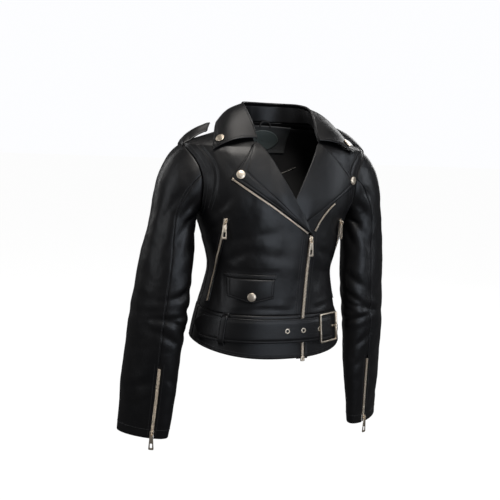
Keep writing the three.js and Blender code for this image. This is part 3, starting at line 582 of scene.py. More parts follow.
LAPELS = {
    "right": ([(-66, -39), (-52, -52), (-36, -74), (-14, -113), (10, -152), (33, -190), (45.5, -213)],
              [(-74, -47), (-96, -78), (-118, -109), (-81, -131), (-36, -159), (12, -191), (46, -215.5)],
              (2 / 6,)),
    "left": ([(66, -37), (52, -65), (36, -97), (22, -124), (9, -150), (20, -172), (31, -187)],
             [(83, -48), (121, -82), (159, -116), (128, -134), (97, -153), (66, -173), (35, -192)], (2 / 6,)),
}
LAPEL_SEAMS = {"right": (0.91, 0.66), "left": (0.91,)}  # shares of the width from the fold to the edge
TWO_PLY = 2.2


def lapel_lift(name, x):
    t = np.clip((x + 45) / 40, 0, 1)
    return 0.6 + 3.9 * t * t * (3 - 2 * t) if name == "right" else np.full_like(x, 1.7)


def lapel_points(name, u, v, lift=0.0):
    """u runs down the fold and v from the fold, 0, to the free edge, 1."""
    fold, edge, corners = LAPELS[name]
    u, v = np.broadcast_arrays(np.asarray(u, float), np.asarray(v, float))
    flat = round_corners(fold, u) * (1 - v[..., None]) + round_corners(edge, u, corners) * v[..., None]
    x, z = np.moveaxis(flat, -1, 0)
    turn = turn_at(x, z)
    middle = np.sin(np.pi * np.clip(v, 0, 1))
    stand = lapel_lift(name, x) + TWO_PLY + 1.7 * middle + 1.1 * wander(skin(turn, z), 45, 3.0) * middle
    stand = stand + sewn_dip(v, LAPEL_SEAMS[name], 0.022, 0.7)
    return over_skin(turn, z, stand + lift)


for name in ("right", "left"):
    u, v = eased(88), eased(34)
    face = lapel_points(name, u[None], v[:, None])
    start, second = face[0], face[2]
    inward = unit(start - second)
    normal = grid_normals(face)[2]
    bend = np.radians(np.linspace(170, 14, 9))
    radius = np.clip(np.minimum(u, 1 - u) * 20, 0.15, 1)[None, :, None] * 2.1
    along, out = np.sin(bend)[:, None, None], np.cos(bend)[:, None, None]
    round_fold = start[None] - normal[None] * radius + radius * (along * inward[None] + out * normal[None])
    points = np.concatenate([round_fold, face])
    piece = make_sheet(f"lapel_turned_{name}", points, 2.0, leather)
    declare(piece, points, f"lapel_{name}")
    for share, low in zip(LAPEL_SEAMS[name], (0.06, 0.36)):
        line = np.linspace(low, 0.99 if name == "left" else 0.985, 130)
        sew(lapel_points(name, line, share, 0.15))
    sew(lapel_points(name, 0.035, np.linspace(0.12, 0.93, 40), 0.15))

# %% [markdown]
# The collar is one leaf folded over its stand. The stand climbs from the neck seam to the fold, and the
# leaf rolls over the fold and falls to the shoulders. Both follow the same three curves as the frame.

# %% Collar
def catmull(points, share):
    """A centripetal curve through the points, with the points evenly spread over the share."""
    p = np.asarray(points, float)
    p = np.concatenate([[2 * p[0] - p[1]], p, [2 * p[-1] - p[-2]]])
    share = np.asarray(share, float)
    place = np.clip(share, 0, 1) * (len(p) - 3)
    i = np.minimum(len(p) - 4, np.floor(place)).astype(int)
    t = (place - i)[..., None]
    p0, p1, p2, p3 = (p[i + k] for k in range(4))
    d0, d1, d2 = (np.maximum(np.linalg.norm(b - a, axis=-1, keepdims=True), 1e-6) ** 0.5
                  for a, b in ((p0, p1), (p1, p2), (p2, p3)))
    m1 = ((p1 - p0) / d0 - (p2 - p0) / (d0 + d1) + (p2 - p1) / d1) * d1
    m2 = ((p2 - p1) / d1 - (p3 - p1) / (d1 + d2) + (p3 - p2) / d2) * d1
    return ((2 * t ** 3 - 3 * t ** 2 + 1) * p1 + (t ** 3 - 2 * t ** 2 + t) * m1
            + (3 * t ** 2 - 2 * t ** 3) * p2 + (t ** 3 - t ** 2) * m2)


def neck_curve(half):
    half = [(x, AXIS_Y + y, z) for x, y, z in half]
    line = [(-x, y, z) for x, y, z in half[:0:-1]] + half
    return lambda share: catmull(line, share)


stand_foot = neck_curve([(0, 67, .5), (38, 57, .5), (65, 30, .8), (72, -8, 1), (69, -48, -8), (65, -80, -33)])
collar_fold = neck_curve([(0, 63, 35), (36, 56, 35), (63, 30, 34), (73, -8, 27), (71, -46, 4),
                          (67, -84, -31)])
leaf_edge = neck_curve([(0, 93, -16), (56, 84, -17), (100, 54, -12), (122, 10, -6), (140, -38, -26),
                        (150, -76, -56)])
LEAF_SEAM = 0.915


def clear_of_body(points, lift):
    """Pushes points out to a lift over the body where they would lie lower."""
    wide, front, back = np.moveaxis(section(points[..., 2]), -1, 0)
    deep = np.where(points[..., 1] < AXIS_Y, front, back)
    share = (np.abs(points[..., 0] / (wide + lift)) ** SQUARE
             + np.abs((points[..., 1] - AXIS_Y) / (deep + lift)) ** SQUARE) ** (1 / SQUARE)
    out = points.copy()
    grow = np.where(share < 1, 1 / np.maximum(share, 1e-6), 1)
    out[..., 0] *= grow
    out[..., 1] = AXIS_Y + (points[..., 1] - AXIS_Y) * grow
    return out


def leaf_at(u, v, lift=0.0):
    u, v = np.broadcast_arrays(np.asarray(u, float), np.asarray(v, float))
    top, low = collar_fold(u), leaf_edge(u)
    bulge = np.sin(np.pi * v)
    outward = unit(np.stack([top[..., 0], top[..., 1] - AXIS_Y, 0 * u], -1))
    points = top * (1 - v[..., None]) + low * v[..., None] + outward * (5 * bulge)[..., None]
    points[..., 2] += 7 * bulge
    points = clear_of_body(points, 3.5 * np.minimum(1, v * 4))
    if not np.any(lift):
        return points
    across = leaf_at(np.minimum(u + 0.004, 1), v) - leaf_at(np.maximum(u - 0.004, 0), v)
    down = leaf_at(u, np.minimum(v + 0.016, 1)) - leaf_at(u, np.maximum(v - 0.016, 0))
    return points + unit(np.cross(across, down)) * np.asarray(lift)[..., None]


u, v = eased(150, 0.003), eased(30)
ripple = 0.7 * wander(leaf_at(u[None], v[:, None]), 38, 11.0) * np.sin(np.pi * v)[:, None]
face = leaf_at(u[None], v[:, None], 2.35 + ripple + sewn_dip(v, (LEAF_SEAM,), 0.018, 0.7)[:, None])
outward = unit((face[0] - (0, AXIS_Y, 0)) * (1, 1, 0))
bend = np.radians(np.linspace(178, 12, 9))[:, None, None]
radius = np.clip(np.minimum(u, 1 - u) * 30, 0.2, 1)[None, :, None] * 2.7
over_fold = face[0][None] - outward[None] * radius + radius * (
    np.cos(bend) * outward[None] + np.sin(bend) * np.array((0, 0, 1.0)) * 1.15)
points = np.concatenate([over_fold, face])
collar = make_sheet("collar_folded_leaf", points, 2.1, leather)
declare(collar, points, "collar_leaf")
sew(leaf_at(np.linspace(0.012, 0.988, 420), LEAF_SEAM, 1.85))
for end in (0.0105, 0.9895):
    sew(leaf_at(end, np.linspace(0.08, 0.92, 50), 2.5))

rise = eased(12)
points = (collar_fold(u)[None] * (1 - rise[:, None, None]) + stand_foot(u)[None] * rise[:, None, None])
points[..., 2] -= (3.0 * (1 - rise))[:, None]
stand = make_sheet("collar_neck_stand", points, 1.6, leather)
declare(stand, points, "collar_stand")

# %% [markdown]
# A sleeve starts on the armhole's oval, rolls over the shoulder, and runs down as a flattened oval that
# hangs slightly forward. Two panels make it, so there is a seam along the back and a zipped seam at the
# inner front. Soft leather breaks at the elbow, so the folds crowd there and fan out towards the front.

# %% The sleeve's surface
CAP, CUFF_TURN, BACK_TURN, FLAT_TURN = 0.26, 82.0, 295.0, -42.0
CAP_LONG, ARM_LONG = 420, 622  # millimetres to a whole share, above the cap's foot and below it
SLEEVE_X = 235  # how far out a sleeve's axis is taken to stand
FOLD_SHARE = 0.62  # of the listed depths
SLEEVE_TOP = ARM_Z - ARM_HIGH - 12
ZIP_START = CAP + (1 - CAP) * 0.66
sleeve_rows = smooth_rows([(0, 209, 3, 47, 45), (.25, 222, 0, 60, 44), (.5, 235, -6, 64, 40),
                           (.75, 245, -12, 65, 33), (1, 255, -18, 61, 24)])


def armhole(side, angle, inset=0.0):
    t = np.radians(angle)
    y = -(ARM_WIDE - inset) * np.sin(t)
    z = ARM_Z + (ARM_HIGH - inset) * np.cos(t)
    wide, front, back = np.moveaxis(section(z), -1, 0)
    share = np.minimum(0.9, np.abs(y) / np.where(y < 0, front, back)) ** SQUARE
    return np.stack([side * wide * (1 - share) ** (1 / SQUARE), AXIS_Y + y, z], -1)


def sleeve_ring(side, angle, share, inset):
    out, ahead, long, short = np.moveaxis(sleeve_rows(share), -1, 0)
    t, flat = np.radians(angle - FLAT_TURN), math.radians(FLAT_TURN)
    p, q = (long - inset) * np.cos(t), (short - inset) * np.sin(t)
    outward = p * math.cos(flat) - q * math.sin(flat)
    forward = p * math.sin(flat) + q * math.cos(flat)
    z = SLEEVE_TOP - share * SLEEVE_LENGTH + outward * 0.12 * (1 - share)
    return np.stack([side * (out + outward), AXIS_Y - ahead - forward, z], -1)


def sleeve(side, angle, s, inset=0.0):
    angle, s = np.broadcast_arrays(np.asarray(angle, float), np.asarray(s, float))
    lower = sleeve_ring(side, angle, np.clip((s - CAP) / (1 - CAP), 0, 1), inset)
    t = np.clip(s / CAP, 0, 1)[..., None]
    start, end = armhole(side, angle, inset + 0.3), sleeve_ring(side, angle, 0 * s, inset)
    high = (1 + np.cos(np.radians(angle))) / 2
    reach_to = np.linalg.norm(end - start, axis=-1)[..., None]
    start[..., 0] += side * 0.5
    leave = np.stack([side * (0.35 + 0.6 * high), 0 * high, -0.15 - 0.55 * high], -1) * reach_to
    arrive = np.array((side * 0.12, 0, -1.0)) * reach_to * 0.9
    cap = ((1 + 2 * t) * (1 - t) ** 2 * start + t * (1 - t) ** 2 * leave
           + t * t * (3 - 2 * t) * end + t * t * (t - 1) * arrive)
    return np.where((s >= CAP)[..., None], lower, cap)


def out_of_sleeve(side, angle, s):
    around = sleeve(side, angle + 1.5, s) - sleeve(side, angle - 1.5, s)
    down = sleeve(side, angle, np.minimum(s + 0.004, 1)) - sleeve(side, angle, np.maximum(s - 0.004, 0))
    return unit(np.cross(around, down)) * side


# angle, share, slope in degrees, width, half length, depth
SLEEVE_CREASES = [
    (118, .515, 24, 6.5, 40, 4.2), (104, .56, 8, 6, 44, 4.8), (112, .605, -14, 6, 40, 4.4),
    (96, .655, -30, 7, 36, 3.4), (128, .47, 40, 8, 38, 3.4), (60, .58, 14, 8, 34, 2.2),
    (150, .55, 4, 7, 34, 3.6), (150, .62, -20, 7, 30, 3.2), (170, .50, 30, 8, 34, 3.0),
    (74, .13, 66, 8, 34, 2.4), (104, .17, 76, 8, 38, 3.2), (128, .23, 60, 7, 36, 3.6),
    (150, .30, 48, 8, 34, 3.6), (92, .33, 64, 10, 40, 2.4), (50, .27, 80, 11, 40, 1.8),
    (20, .50, -12, 11, 40, 1.6), (-10, .60, 16, 11, 36, 1.6), (240, .55, -10, 9, 44, 3.0),
    (232, .62, 14, 9, 40, 2.6), (252, .20, 70, 10, 36, 2.6), (46, .80, 18, 8, 30, 1.8),
    (58, .87, 34, 7, 24, 1.6), (20, .90, -8, 9, 30, 1.4), (120, .78, -28, 8, 26, 2.2),
]


def sleeve_length(s):
    """Millimetres from the sleeve's head down to a share of it, roughly."""
    return np.where(s < CAP, s * CAP_LONG, CAP * CAP_LONG + (s - CAP) * ARM_LONG)


def sleeve_folds(side, angle, s):
    angle, s = np.broadcast_arrays(np.asarray(angle, float), np.asarray(s, float))
    point = sleeve(side, angle, s)
    total = (2.4 * wander(point * (1, 1, 0.6), 58, 2.0 + side)
             + 1.2 * wander(point * (1, 1, 0.8), 24, 7.0 + side) + 0.28 * wander(point, 10, 8.0))
    down = sleeve_length(s)
    for number, (turn, share, slope, width, length, depth) in enumerate(SLEEVE_CREASES):
        shift = 0.018 * math.sin(number * 2.3 + side)
        slope = math.radians(slope + 6 * math.sin(number + side))
        level = ((share + shift) * CAP_LONG if share < CAP
                 else CAP * CAP_LONG + (share + shift - CAP) * ARM_LONG)
        dx = ((angle - turn + 180) % 360 - 180) * 0.95
        total = total + crease(dx, level - down, slope, width, length, FOLD_SHARE * depth)
    calm = still_near(s * CAP_LONG, 9) * (0.25 + 0.75 * still_near((1 - s) * ARM_LONG, 30))
    near_zip = np.abs(angle - CUFF_TURN) * 0.9
    calm = calm * np.where(s > ZIP_START - 0.05, 0.2 + 0.8 * still_near(near_zip, 18), 1)
    return total * calm - 0.3


def sleeve_at(side, angle, s, lift=0.0):
    angle, s = np.broadcast_arrays(np.asarray(angle, float), np.asarray(s, float))
    offset = np.asarray(lift) + sleeve_folds(side, angle, s)
    return sleeve(side, angle, s) + out_of_sleeve(side, angle, s) * offset[..., None]


# %% Sleeve panels
def seam_turn(s):
    open_by = np.where(s > ZIP_START - 0.01, CHAIN / 2 + 0.3, 0.15)
    return np.degrees(open_by / 46)


shares = np.concatenate([[0, .003, .008], np.linspace(0.015, 0.985, 170), [.992, .997, 1]])
for name, side in (("right", -1), ("left", 1)):
    gap = seam_turn(shares)
    for part, low, high in (("outer", BACK_TURN - 360 + 0.2 + 0 * gap, CUFF_TURN - gap),
                            ("inner", CUFF_TURN + gap, BACK_TURN - 0.2 + 0 * gap)):
        angles = low[:, None] + (high - low)[:, None] * eased(70)[None]
        points = sleeve_at(side, angles, shares[:, None])
        piece = make_sheet(f"sleeve_{part}_panel_{name}", points, 1.5, leather,
                           away=(side * SLEEVE_X, AXIS_Y + 6, -420))
        declare(piece, points, f"sleeve_{part}_{name}")
    line = np.linspace(0.02, 0.985, 420)
    sew(sleeve_at(side, BACK_TURN + 3.6 + 0 * line, line, 0.12))
    seam = np.linspace(CAP * 0.35, ZIP_START, 260)
    sew(sleeve_at(side, CUFF_TURN - 3.6 + 0 * seam, seam, 0.12))
    low = np.linspace(ZIP_START - 0.01, 0.985, 120)
    for way in (-1, 1):
        sew(sleeve_at(side, CUFF_TURN + way * 9.5 + 0 * low, low, 0.12))
    hem = np.linspace(CUFF_TURN + 6, CUFF_TURN + 354, 360)
    sew(sleeve_at(side, hem, 0.968 + 0 * hem, 0.12))

print("panels and sleeves, with", len(stitches["jacket"]), "lines of stitches so far")


def around_armhole(side, room, low=0.0, high=360.0, count=300):
    """A line on the body's face that runs round the armhole at a distance from its edge."""
    t = np.radians(np.linspace(low, high, count))
    z = ARM_Z + (ARM_HIGH + room) * np.cos(t)
    y = (ARM_WIDE + room) * np.abs(np.sin(t))
    wide, front, back = np.moveaxis(section(z), -1, 0)
    ahead = np.degrees(np.arccos(np.minimum(0.999, y / np.where(np.sin(t) > 0, front, back)) ** (SQUARE / 2)))
    turn = side * np.where(np.sin(t) > 0, ahead, 180 - ahead)
    return leather_at(turn, z, 0.12)


for side in (-1, 1):
    for room in (3.0, 8.5):
        sew(around_armhole(side, room, 12, 348))
    for room in (16.0, 22.0):
        sew(around_armhole(side, room, 24, 128, 120))

# %% [markdown]
# The lining hangs loosely inside. It shows only through the open neck and at the cuffs, so it is a plain
# sheet with slack ripples. The neck has a leather facing with an oval patch, which is left blank.

# %% Linings, facing and patch
def slack(points, size=30.0, depth=1.0, seed=21.0):
    return (depth * wander(points, size, seed))[..., None]


def declare_lining(piece, points, node):
    declare(piece, points, node)


heights = np.linspace(HEM + 28, NECK_Z - 6, 70)
ahead, behind = armhole_turn(heights, -2.0)
for name, side in (("right", -1), ("left", 1)):
    inner = turn_at(front_edge(side, heights) + side * 6, heights)
    outer = side * np.minimum(89.5, ahead)
    turns = inner[:, None] + (outer - inner)[:, None] * np.linspace(0, 1, 40)[None]
    points = skin(turns, heights[:, None])
    points = points + out_of_body(turns, heights[:, None] + 0 * turns) * (-5.9 + 0.2 * slack(points))
    declare_lining(make_sheet(f"lining_front_{name}", points, 0.7, lining_cloth), points, "lining_body")
right = np.maximum(90.5, behind)
turns = right[:, None] + (360 - 2 * right)[:, None] * np.linspace(0, 1, 80)[None]
points = skin(turns, heights[:, None])
points = points + out_of_body(turns, heights[:, None] + 0 * turns) * (-6.0 + 0.2 * slack(points))
declare_lining(make_sheet("lining_behind", points, 0.7, lining_cloth), points, "lining_body")

for name, side in (("right", -1), ("left", 1)):
    angles, share = np.arange(0, 360, 4.0), np.linspace(0.02, 0.975, 70)
    points = sleeve(side, angles[None], share[:, None], 4.9)
    points = points + 0.5 * slack(points, 26) * unit((points - (side * SLEEVE_X, AXIS_Y, 0)) * (1, 1, 0))
    piece = make_sheet(f"lining_sleeve_{name}", points, 0.7, lining_cloth, closed=True,
                       away=(side * SLEEVE_X, AXIS_Y, -420))
    declare_lining(piece, np.concatenate([points, points[:, :1]], 1), f"sleeve_lining_{name}")
    turns = side * np.linspace(27, 70, 24)[None]
    levels = np.linspace(-372, -210, 40)[:, None]
    points = over_skin(turns + 0 * levels, levels + 0 * turns, -2.9)
    declare_lining(make_sheet(f"pocket_bag_cloth_{name}", points, 0.7, lining_cloth), points,
                   f"pocket_bag_{name}")


def in_back(x, z, lift):
    x, z = np.broadcast_arrays(np.asarray(x, float), np.asarray(z, float))
    turn = 180 - turn_at(x, z)
    return over_skin(turn, z, lift)


x, z = np.linspace(-58, 58, 40)[None], np.linspace(-66, -5, 30)[:, None]
points = in_back(x, z, np.full((30, 40), -8.7))
facing = make_sheet("neck_facing_yoke", points, -1.0, facing_leather)
declare(facing, points, "neck_facing")
turn, radius = np.radians(np.arange(0, 360, 6.0))[None], np.linspace(0.02, 1, 16)[:, None]
px, pz = 38 * radius * np.cos(turn), -37 + 23 * radius * np.sin(turn)
points = in_back(px, pz, -9.4 - 0.5 * (1 - radius ** 6) + 0 * turn)
patch = make_sheet("neck_patch", points, -0.5, label_leather, closed=True)
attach(patch, "jacket")
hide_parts("neck_label")
t = np.radians(np.linspace(0, 360, 120))
sew(in_back(35.6 * np.cos(t), -37 + 20.8 * np.sin(t), np.full(120, -9.9)))

# %% [markdown]
# Round and flat metal parts come from two helpers. A lathe turns a profile round an axis, and a plate
# fills an outline and bevels it, which is how a stamped or cast fitting gets its soft edges. Each part is
# made in its own frame, X across, Y up and Z out, and then laid on the face where it belongs.

# %% Helpers for the fittings
def seat(point, normal, up):
    out = unit(np.asarray(normal, float))
    across = unit(np.cross(np.asarray(up, float), out))
    made = Matrix.Identity(4)
    for k, column in enumerate((across, np.cross(out, across), out, point)):
        for row in range(3):
            made[row][k] = float(column[row])
    return made


UP = (0, 0, 1)


def place(vertices, matrix):
    m = np.array(matrix)
    return np.asarray(vertices, float) @ m[:3, :3].T + m[:3, 3]


def lathe(profile, count=40, ring=False):
    """Vertices and faces of a profile of (radius, height) turned round Z; a ring's profile is closed."""
    turn = np.radians(np.arange(count) * 360 / count)
    vertices = [(r * math.cos(a), r * math.sin(a), h) for r, h in profile for a in turn]
    rows = len(profile)
    pairs = [(j, j + 1) for j in range(rows - 1)] + ([(rows - 1, 0)] if ring else [])
    faces = [(a * count + i, a * count + (i + 1) % count, b * count + (i + 1) % count, b * count + i)
             for a, b in pairs for i in range(count)]
    return vertices, faces


def plate(outline, holes, depth, bevel):
    """A flat fitting with rounded edges, centred on its own plane."""
    curve = bpy.data.curves.new("outline", "CURVE")
    curve.dimensions, curve.fill_mode = "2D", "BOTH"
    curve.extrude, curve.offset = depth / 2 - bevel, -bevel
    curve.bevel_depth, curve.bevel_resolution = bevel, 2
    for ring in (outline, *holes):
        spline = curve.splines.new("POLY")
        spline.points.add(len(ring) - 1)
        for dot, (x, y) in zip(spline.points, ring):
            dot.co = (x, y, 0, 1)
        spline.use_cyclic_u = True
    shape = bpy.data.objects.new("outline", curve)
    scene.collection.objects.link(shape)
    bpy.context.view_layer.update()
    mesh = bpy.data.meshes.new_from_object(shape.evaluated_get(bpy.context.evaluated_depsgraph_get()))
    made = [tuple(v.co) for v in mesh.vertices], [tuple(f.vertices) for f in mesh.polygons]
    bpy.data.objects.remove(shape)
    bpy.data.curves.remove(curve)
    bpy.data.meshes.remove(mesh)
    return made


def rounded(width, height, corner, x=0.0, y=0.0, steps=6):
    """The corners of a rectangle, each turned round in a few steps."""
    made = []
    for k, (sx, sy) in enumerate(((1, 1), (-1, 1), (-1, -1), (1, -1))):
        for t in np.radians(np.linspace(90 * k, 90 * k + 90, steps)):
            made.append((x + sx * (width / 2 - corner) + corner * math.cos(t),
                         y + sy * (height / 2 - corner) + corner * math.sin(t)))
    return made


def tube(points, radius, sides=14):
    points = np.asarray(points, float)
    along = unit(np.gradient(points, axis=0))
    first = unit(np.cross(along[0], (0.31, 0.52, 0.79)))
    vertices, faces, normal = [], [], first
    radius = np.broadcast_to(radius, len(points))
    for p, a, r in zip(points, along, radius):
        normal = unit(normal - a * float(normal @ a))
        other = np.cross(a, normal)
        vertices += [p + r * (math.cos(t) * normal + math.sin(t) * other)
                     for t in np.arange(sides) * 2 * math.pi / sides]
    for j in range(len(points) - 1):
        for i in range(sides):
            k = (i + 1) % sides
            faces.append((j * sides + i, j * sides + k, (j + 1) * sides + k, (j + 1) * sides + i))
    faces.append(tuple(range(sides)))
    faces.append(tuple(range((len(points) - 1) * sides, len(points) * sides)))
    return vertices, faces


def fitting(name, shapes, matrix, body, node=None, material=None):
    """Joins shapes of one fitting, lays it in its place, and lets it ride on its body."""
    vertices, faces = [], []
    for more, rings in shapes:
        faces += [tuple(i + len(vertices) for i in ring) for ring in rings]
        vertices += [tuple(v) for v in more]
    piece = make_piece(name, place(vertices, matrix), faces, material or plating)
    piece.data.set_sharp_from_angle(angle=math.radians(38))
    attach(piece, body)
    if node:
        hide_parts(node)
    return piece


def moved(shape, x=0.0, y=0.0, z=0.0, turn=None):
    vertices = np.asarray(shape[0], float)
    if turn is not None:
        vertices = vertices @ np.array(turn).T
    return vertices + (x, y, z), shape[1]


# %% Press studs
STUD = [(0, 0), (8.2, 0), (8.75, 0.5), (8.75, 1.15), (8.3, 1.6), (7.7, 1.75), (7.2, 1.62), (6.9, 1.66),
        (6.2, 1.95), (4.5, 2.2), (2.3, 2.3), (0, 2.32)]


def stud(name, point, normal, body):
    fitting(f"stud_{name}", [lathe(STUD, 48)], seat(point, normal, UP), body, name)


for name, x, z in (("right", -100, -103), ("left", 145, -110)):
    turn = turn_at(np.array(float(x)), np.array(float(z)))
    lift = (0.6 if name == "right" else 1.7) + TWO_PLY + 0.9
    normal = out_of_body(turn, z)
    stud(f"snap_lapel_{name}", skin(turn, z) + normal * lift, normal, "jacket")
for name, u in (("right", 0.035), ("left", 0.965)):
    across, down = leaf_at(u + 0.03, 0.82) - leaf_at(u - 0.03, 0.82), leaf_at(u, 0.85) - leaf_at(u, 0.79)
    normal = unit(np.cross(across, down))
    stud(f"snap_collar_{name}", leaf_at(u, 0.82) + normal * 3.0, normal, "jacket")
print("studs made")

# %% [markdown]
# The small front pocket has a welt and a pointed flap that closes on a stud. The flap lifts, so its cloth
# blends from the jacket to the flap's own body over the first centimetre below the hinge line.

# %% Coin pocket
FLAP_LEFT, FLAP_RIGHT, FLAP_TOP, FLAP_CORNER, FLAP_POINT = -110.7, -25.0, -309.0, -347.0, -360.0


def flap_at(u, v, lift=0.0):
    u, v = np.broadcast_arrays(np.asarray(u, float), np.asarray(v, float))
    x = FLAP_LEFT + (FLAP_RIGHT - FLAP_LEFT) * u
    low = FLAP_CORNER + (FLAP_POINT - FLAP_CORNER) * (1 - np.sqrt((2 * u - 1) ** 2 + 0.0016))
    z = low + (FLAP_TOP - low) * v
    turn = turn_at(x, z)
    puff = 2.0 * np.sin(np.pi * v) ** 0.7 * np.clip(np.sin(np.pi * u), 0, 1) ** 0.5
    puff = puff + sewn_dip(v, (0.09,), 0.03) + sewn_dip(u, (0.045, 0.955), 0.016)
    return over_skin(turn, z, 3.7 + puff + lift)


points = flap_at(eased(60)[None], eased(30)[:, None])
flap = make_sheet("coin_pocket_flap", points, 2.1, leather)
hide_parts("coin_flap")
flap_hinge = over_front(-68.0, FLAP_TOP, 0) * MM
flap_low = over_front(-68.0, FLAP_TOP - 9, 0) * MM
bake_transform(flap, "jacket", "coin_flap_body", start=tuple(flap_hinge), end=tuple(flap_low))
share = np.linspace(0.04, 0.96, 120)
sew(flap_at(share, np.full(120, 0.09), 0.12), "coin_flap_body")
sew(flap_at(share, np.full(120, 0.94), 0.12), "coin_flap_body")
for u in (0.045, 0.955):
    sew(flap_at(np.full(40, u), np.linspace(0.09, 0.93, 40), 0.12), "coin_flap_body")
x = np.linspace(FLAP_LEFT - 3, FLAP_RIGHT + 3, 70)[None]
z = np.linspace(FLAP_TOP + 0.3, FLAP_TOP + 9, 14)[:, None]
turn = turn_at(x, z)
points = over_skin(turn, z + 0 * x, 2.9)
declare(make_sheet("coin_welt", points, 1.5, leather), points, "coin_pocket_welt")
sew(points[8] + out_of_body(turn[8], z[8] + 0 * turn[8]) * 0.12)
snap_z = FLAP_POINT + 15
snap_turn = turn_at(np.array(-67.85), np.array(snap_z))
normal = out_of_body(snap_turn, snap_z)
stud("coin_flap_snap", skin(snap_turn, snap_z) + normal * 4.6, normal, "coin_flap_body")

# %% [markdown]
# A zip's slider is a small wedge plate with a bridge, and its pull is a long tapered tab with a round eye
# at the top and a square window at the bottom. The slider's body and the pull's body are separate, so the
# pull can swing. Each seat repeats the frame's own rule for where the slider stands.

# %% Sliders and pulls
SLIDER_PLATE = 1.8
SLIDER_OUTLINE = [(-4.7, 3.4), (-4.2, 4.9), (-2.9, 6.4), (2.9, 6.4), (4.2, 4.9), (4.7, 3.4), (3.5, -6.0),
                  (3.0, -6.4),
                  (-3.0, -6.4), (-3.5, -6.0)]
PULL_OUTLINE = [(-3.5, -1.0), (-2.6, 0.1), (-1.4, 0.4), (1.4, 0.4), (2.6, 0.1), (3.5, -1.0), (5.7, -31.6),
                (5.3, -33.2),
                (3.9, -34), (-3.9, -34), (-5.3, -33.2), (-5.7, -31.6)]
BRIDGE = [(0, -4.0, 1.4), (0, -4.05, 3.4), (0, -3.4, 5.1), (0, -1.8, 5.7), (0, 0, 5.8), (0, 1.8, 5.7),
          (0, 3.4, 5.1),
          (0, 4.05, 3.4), (0, 4.0, 1.4)]


def circle(radius, x=0.0, y=0.0, count=28):
    return [(x + radius * math.cos(t),
             y + radius * math.sin(t)) for t in np.arange(count) * 2 * math.pi / count]


def add_slider(prefix, point, normal, way):
    base = moved(plate(SLIDER_OUTLINE, [], SLIDER_PLATE, 0.45), z=SLIDER_PLATE / 2)
    crown = moved(plate([(x * 0.62, y * 0.8) for x, y in SLIDER_OUTLINE], [], 0.7, 0.3), z=SLIDER_PLATE + 0.1)
    bridge = tube(catmull(BRIDGE, np.linspace(0, 1, 33)), 0.85, 12)
    fitting(f"{prefix}_slider_cast", [base, crown, bridge], seat(point, normal, way),
            f"{prefix}_slider_body", f"{prefix}_slider")
    level = unit(np.array((normal[0], normal[1], 0.0)))
    eye = point + normal * (SLIDER_PLATE + 1.6)
    tab = plate(PULL_OUTLINE, [circle(2.6, 0, -3.15), rounded(4.9, 9.6, 1.1, 0, -25.0)], 1.7, 0.4)
    fitting(f"{prefix}_pull_tab", [tab], seat(eye, level, UP), f"{prefix}_pull_body", f"{prefix}_pull")


def body_line(turn_of, z_of):
    """Points, outward normals and directions of travel for a line on the body, read by a share."""
    def read(share):
        share = np.clip(np.asarray(share, float), 0, 1)
        turn, z = turn_of(share), z_of(share)
        step = 0.01
        ahead, behind = np.minimum(share + step, 1), np.maximum(share - step, 0)
        way = unit(skin(turn_of(ahead), z_of(ahead)) - skin(turn_of(behind), z_of(behind)))
        return skin(turn, z), out_of_body(turn, z), way
    return read


zip_heights = lambda v: (HEM - 2) + (ZIP_HEAD[1] - 1 - HEM + 2) * v
main_line = body_line(lambda v: turn_at(zip_x(zip_heights(v)), zip_heights(v)), zip_heights)
head_turn = turn_at(np.array(float(ZIP_HEAD[0])), np.array(float(ZIP_HEAD[1])))
head_normal = out_of_body(head_turn, ZIP_HEAD[1])
head_way = skin(turn_at(49.0, -220.0), -220.0) - skin(turn_at(42.0, -383.0), -383.0)
add_slider("main_zip", skin(head_turn, ZIP_HEAD[1] - 8) + out_of_body(head_turn, ZIP_HEAD[1] - 8) * 0.8,
           head_normal, unit(head_way))

chest_lines = {}
# The pocket's line keeps straight while the waist narrows, so its turn grows faster in the middle.
chest_rows = smooth_rows([(0, 46), (.125, 50.5), (.25, 56), (.375, 62.5), (.5, 69.5), (.625, 75), (.75, 77),
                          (.875, 77),
                          (1, 76)])
chest_turn = lambda v: chest_rows(1 - np.asarray(v, float))[..., 0]
for name, side in (("right", -1), ("left", 1)):
    chest_lines[name] = body_line(lambda v, side=side: side * chest_turn(v), lambda v: -366 + 176 * v)
    point, normal, _ = chest_lines[name](0.965)
    way = unit(chest_lines[name](0.99)[0] - chest_lines[name](0.94)[0])
    add_slider(f"chest_zip_{name}", point + normal * 2.3, normal, way)


def cuff_line(side):
    def read(share):
        share = np.asarray(share, float)
        s = 0.995 + (ZIP_START + 0.004 - 0.995) * share
        way = unit(sleeve(side, CUFF_TURN, s - 0.01) - sleeve(side, CUFF_TURN, s))
        return sleeve(side, CUFF_TURN + 0 * s, s), out_of_sleeve(side, CUFF_TURN + 0 * s,
                                                                 np.minimum(s, 0.985)), way
    return read


for name, side in (("right", -1), ("left", 1)):
    line = cuff_line(side)
    point, normal, _ = line(0.06)
    add_slider(f"cuff_zip_{name}", point + normal * 0.8, normal, unit(line(0.3)[0] - line(0.0)[0]))
print("five sliders with their pulls")

# %% [markdown]
# Teeth and stitches repeat along lines, so Geometry Nodes lay them. The lines are edges whose points
# carry the outward direction. The tree resamples them to a pitch, pushes each step sideways, to alternate
# sides on a closed zip, and turns one small shape to follow the line. Real instances are made at the end.

